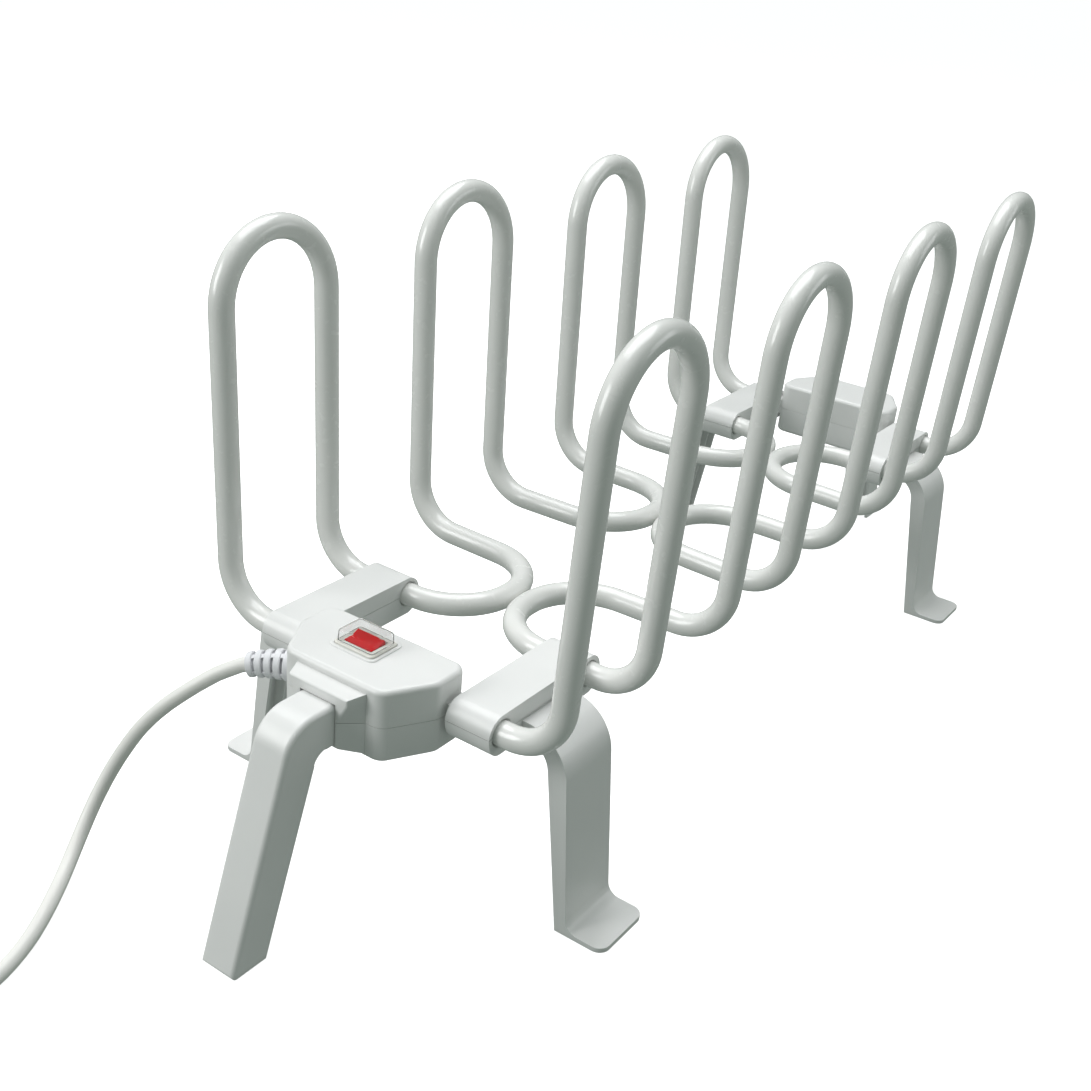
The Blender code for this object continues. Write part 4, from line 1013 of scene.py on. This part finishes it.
def make_splash_cover():
    """The clear cover over the rocker, a thin box that narrows upward."""
    low, high = cover_low.z, cover_high.z
    size = cover_high - cover_low
    cover = centred(size, low, high, COVER_CORNER)
    bevel(cover, lambda p: p.z > high - NEAR, COVER_RIM, 5)
    inside = high - COVER_WALL
    inner = centred((size.x - 2 * COVER_WALL, size.y - 2 * COVER_WALL), low - CLEAR, inside,
                    COVER_INNER_CORNER)
    bevel(inner, lambda p: p.z > inside - NEAR, COVER_INNER_RIM, 4)
    for bm in (cover, inner):
        for vert in bm.verts:
            lean = 1 - COVER_LEAN * max(0, vert.co.z - low) / size.z
            vert.co.x = SWITCH_CENTRE.x + (vert.co.x - SWITCH_CENTRE.x) * lean
            vert.co.y = SWITCH_CENTRE.y + (vert.co.y - SWITCH_CENTRE.y) * lean
    cover = piece_from(cover, "switch_splash_cover_finish")
    carve(cover, "DIFFERENCE", inner)
    keep(settle(cover), clear, "clear_plastic", "switch_splash_cover")


def ring_sector(start, thickness, radii, turn, sweep_angle):
    """Part of a ring about the cord's axis where it leaves the box, as a bmesh."""
    beside = Vector((-CORD_AIM.y, CORD_AIM.x, 0))
    bm = bmesh.new()
    rings = []
    for index in range(SECTOR_STEPS + 1):
        angle = turn + sweep_angle * (index / SECTOR_STEPS - 0.5)
        out = beside * math.cos(angle) + Vector((0, 0, math.sin(angle)))
        rings.append([bm.verts.new(CORD_ROOT + CORD_AIM * along + out * radius)
                      for along, radius in ((start, radii[0]), (start, radii[1]),
                                            (start + thickness, radii[1]),
                                            (start + thickness, radii[0]))])
    return solid(bm, rings)


def drooped(point):
    """Where a point on the straight relief goes when the relief bends down to its tip."""
    along = (point - CORD_ROOT).dot(CORD_AIM)
    if along <= 0:
        return point
    share = along / RELIEF_LENGTH
    turn = 2 * RELIEF_DROOP * share / RELIEF_LENGTH
    rise = point.z - CORD_ROOT.z
    moved = point + CORD_AIM * rise * math.sin(turn)
    moved.z = CORD_ROOT.z - RELIEF_DROOP * share ** 2 + rise * math.cos(turn)
    return moved


def make_strain_relief():
    """The cord's tapered strain relief: rings with rows of slots between, so that it can bend."""
    profile = list(RELIEF_FLANGE)
    for ring in range(RELIEF_RINGS):
        start = GAP + ring * RELIEF_PITCH
        end = min(start + RELIEF_PITCH - RELIEF_SLOT, RELIEF_LENGTH)
        radius = RELIEF_FOOT - ring * RELIEF_TAPER
        profile += [(start + along, radius - depth) for along, depth in RELIEF_RING_START]
        profile += [(end - along, radius - depth) for along, depth in RELIEF_RING_END]
    profile += [(RELIEF_LENGTH, 0)]
    piece = piece_from(turned(profile, CORD_ROOT, CORD_AIM, 56), "strain_relief_finish")
    for row in range(1, RELIEF_RINGS):
        start = GAP + row * RELIEF_PITCH - RELIEF_SLOT
        for quarter in range(4):
            turn = RELIEF_SLOT_TURN + math.pi / 2 * quarter
            carve(piece, "DIFFERENCE", ring_sector(start, RELIEF_SLOT, (RELIEF_NECK, RELIEF_OUTSIDE),
                                                   turn, RELIEF_SLOT_SWEEP))
    settle(piece)
    for vertex in piece.data.vertices:
        vertex.co = drooped(vertex.co)
    return keep(piece, relief_pvc, "white_pvc", "cord_strain_relief")


def make_plug():
    """The moulded mains plug and its two pins, lying by the coil."""
    root = Vector((plug_high.x, (plug_low.y + plug_high.y) / 2, (plug_low.z + plug_high.z) / 2))
    aim = Vector((-1, 0, 0))
    profile = [(0, 0), (0, PLUG_TAIL_END)]
    for ring in range(PLUG_TAIL_RINGS):
        start = PLUG_TAIL_START + ring * PLUG_TAIL_PITCH
        radius = PLUG_TAIL_RADIUS + ring * PLUG_TAIL_GROWTH
        profile += [(start + along, radius + rise) for along, rise in PLUG_TAIL_RING]
    plug = piece_from(turned(profile + PLUG_BODY, root, aim, 56), "power_plug_finish", 40)
    face = root + aim * PLUG_LENGTH
    for side in (-1, 1):
        length, half, floor = PLUG_SLOT
        carve(plug, "DIFFERENCE",
              box((face.x - CLEAR, face.y - half, face.z + side * floor),
                  (face.x + length, face.y + half, face.z + side * PLUG_OUTSIDE)))
        length, half, floor = PLUG_GRIP
        for groove in range(PLUG_GRIPS):
            x = root.x - PLUG_GRIP_START - groove * PLUG_GRIP_PITCH
            carve(plug, "DIFFERENCE",
                  box((x, face.y + side * floor, face.z - half),
                      (x - length, face.y + side * PLUG_OUTSIDE, face.z + half)))
    keep(settle(plug), pvc, "white_pvc", "power_plug")
    pins = []
    for number in (1, 2):
        low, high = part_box(f"plug_pin_{number}")
        centre = Vector((high.x, (low.y + high.y) / 2, (low.z + high.z) / 2))
        length = high.x - low.x
        profile = [(0, 0), (0, PIN_RADIUS)] + [(length - back, radius) for back, radius in PIN_TIP]
        pin = piece_from(turned(profile, centre, aim, 28), f"plug_pin_{number}_finish", 60)
        pins.append(keep(pin, nickel, "brass", f"plug_pin_{number}"))
    return [plug] + pins


def make_tie():
    """The strap round the coil's turns, on the side away from the object."""
    route = coil_route()
    crossings = [route[round((turn + 0.5) * COIL_STEPS)] - COIL_CENTRE
                 for turn in range(round(COIL_TRACK[-1][0]))]
    lowest = TIE_BOTTOM + CORD_RADIUS + TIE_THICKNESS

    def loop(radius, half_width):
        """The tight hull of a strap's width round every turn's section."""
        bm = bmesh.new()
        for point in crossings:
            for index in range(TIE_SIDES):
                angle = 2 * math.pi * index / TIE_SIDES
                height = max(point.z + radius * math.sin(angle), lowest - radius)
                for level in (-half_width, half_width):
                    bm.verts.new(COIL_CENTRE + Vector((
                        point.x + radius * math.cos(angle), level, height)))
        hull = bmesh.ops.convex_hull(bm, input=bm.verts)
        unused = [v for v in hull["geom_interior"] if isinstance(v, bmesh.types.BMVert)]
        bmesh.ops.delete(bm, geom=unused, context="VERTS")
        return bm

    tie = piece_from(loop(CORD_RADIUS + TIE_THICKNESS, TIE_WIDTH / 2), "cord_tie")
    carve(tie, "DIFFERENCE", loop(CORD_RADIUS, TIE_WIDTH))
    return keep(settle(tie), tie_finish, "white_pvc")


def make_cord():
    """The free cord in one piece: hanging, lying, and wound into its coil as far as the plug."""
    turn = 2 * RELIEF_DROOP / RELIEF_LENGTH
    aim = CORD_AIM * math.cos(turn) - Vector((0, 0, math.sin(turn)))
    start = drooped(CORD_ROOT + CORD_AIM * RELIEF_LENGTH) + aim * GAP
    free = smooth([start + aim * CORD_RADIUS] + CORD_ROUTE, CORD_STEP)
    coil = coil_route()
    lead = coil[0] + Vector((0, COIL_LEAD, 0))
    end = Vector((plug_high.x + GAP, coil[-1].y, coil[-1].z))
    route = [start] + free + [lead] + coil + [coil[-1].lerp(end, 0.5), end]
    length = sum((b - a).length for a, b in zip(route, route[1:]))
    cord = piece_from(sweep(route, CORD_RADIUS, CORD_SIDES), "power_cord_finish", 60)
    keep(cord, pvc, "white_pvc", "power_cord", "power_cord_coil")
    return cord, route, start, length


def screw_mesh():
    """A pan-head screw with a cross recess, its head down at the origin, as an object."""
    screw = piece_from(turned(SCREW_PROFILE, Vector(), Vector((0, 0, 1)), 32), "screw")
    for angle in (0, math.pi / 2):
        slot = box((-RECESS_HALF, -RECESS_WIDTH / 2, -CLEAR),
                   (RECESS_HALF, RECESS_WIDTH / 2, RECESS_DEPTH))
        slot.transform(Matrix.Rotation(angle, 4, "Z"))
        carve(screw, "DIFFERENCE", slot)
    return screw


def make_screws():
    """Every screw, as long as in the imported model, its recess at an angle of its own."""
    first = screw_mesh()
    for name in sorted(name for name in frame["nodes"] if "_screw" in name):
        low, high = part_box(name)
        middle = (low + high) / 2
        bm = bmesh.new()
        bm.from_mesh(first.data)
        for vert in bm.verts:
            if vert.co.z > SCREW_SHANK:
                vert.co.z += high.z - low.z - SCREW_PROFILE[-1][0]
        if name.startswith("cord_clamp"):
            turn = Matrix.Rotation(math.pi, 4, "X")
            head = (middle.x, middle.y, high.z)
        else:
            turn = Matrix.Rotation(middle.x * 40 + middle.y * 25, 4, "Z")
            head = (middle.x, middle.y, low.z)
        bm.transform(Matrix.Translation(head) @ turn)
        keep(settle(piece_from(bm, f"{name}_finish")), zinc, "zinc_steel", name)
    bpy.data.objects.remove(first)


def finish_inner_nodes():
    """The pieces inside the housings keep their shape and get their finish."""
    finishes = {
        "silicone": silicone, "grey_nylon": nylon, "wire_insulation": tie_finish, "brass": brass,
        "zinc_steel": zinc, "white_plastic": plastic, "white_pvc": pvc}
    slots = {row["node"]: row["material_slot"] for row in frame["record"]["subparts"]}
    for name, node in frame["nodes"].items():
        if not node.hide_render:
            node.data.materials.clear()
            node.data.materials.append(finishes[slots[name]])


def area_light(name, at, toward, size, power, colour=(1, 1, 1)):
    """A soft rectangular light aimed at a point."""
    light = bpy.data.lights.new(name, "AREA")
    light.shape = "RECTANGLE"
    light.size, light.size_y = size
    light.energy = power
    light.color = colour
    lamp = bpy.data.objects.new(name, light)
    lamp.location = at
    lamp.rotation_euler = (Vector(toward) - Vector(at)).to_track_quat("-Z", "Y").to_euler()
    bpy.context.scene.collection.objects.link(lamp)


def make_studio():
    """A white floor, a dim surround, a broad light above and softer ones at the left."""
    scene = bpy.context.scene
    scene.view_settings.view_transform = "Standard"
    world = bpy.data.worlds.new("studio")
    scene.world = world
    world.use_nodes = True
    backdrop = world.node_tree.nodes["Background"]
    backdrop.inputs["Color"].default_value = (0.86, 1.0, 0.92, 1)
    backdrop.inputs["Strength"].default_value = 0.24
    bpy.ops.mesh.primitive_plane_add(size=80, location=(0, 0, -2 * NEAR))
    floor = bpy.context.object
    floor.name = "floor"
    paper = bpy.data.materials.new("paper")
    paper.use_nodes = True
    shader = paper.node_tree.nodes["Principled BSDF"]
    shader.inputs["Base Color"].default_value = (0.9, 0.9, 0.9, 1)
    shader.inputs["Roughness"].default_value = 0.9
    shader.inputs["Emission Color"].default_value = (1, 1, 1, 1)
    shader.inputs["Emission Strength"].default_value = 0.8
    floor.data.materials.append(paper)
    floor.visible_diffuse = False
    floor.visible_glossy = False
    area_light("top", (-0.5, 0.2, 2.2), (0, -0.05, 0.15), (1.8, 1.8), 40, (0.98, 0.98, 1))
    area_light("left", (-1.1, -1.7, 1.0), (0, -0.1, 0.15), (1.0, 1.0), 18)
    area_light("rear", (1.6, 1.2, 0.9), (0, 0, 0.15), (1.0, 0.8), 5)


make_camera()
cord, cord_route, cord_exit, cord_length = make_cord()
plug_pieces = make_plug()
tie = make_tie()
relief = make_strain_relief()
make_tubes()
make_shells()
make_legs()
make_switch_body()
make_rocker()
make_splash_cover()
make_screws()
finish_inner_nodes()
make_studio()
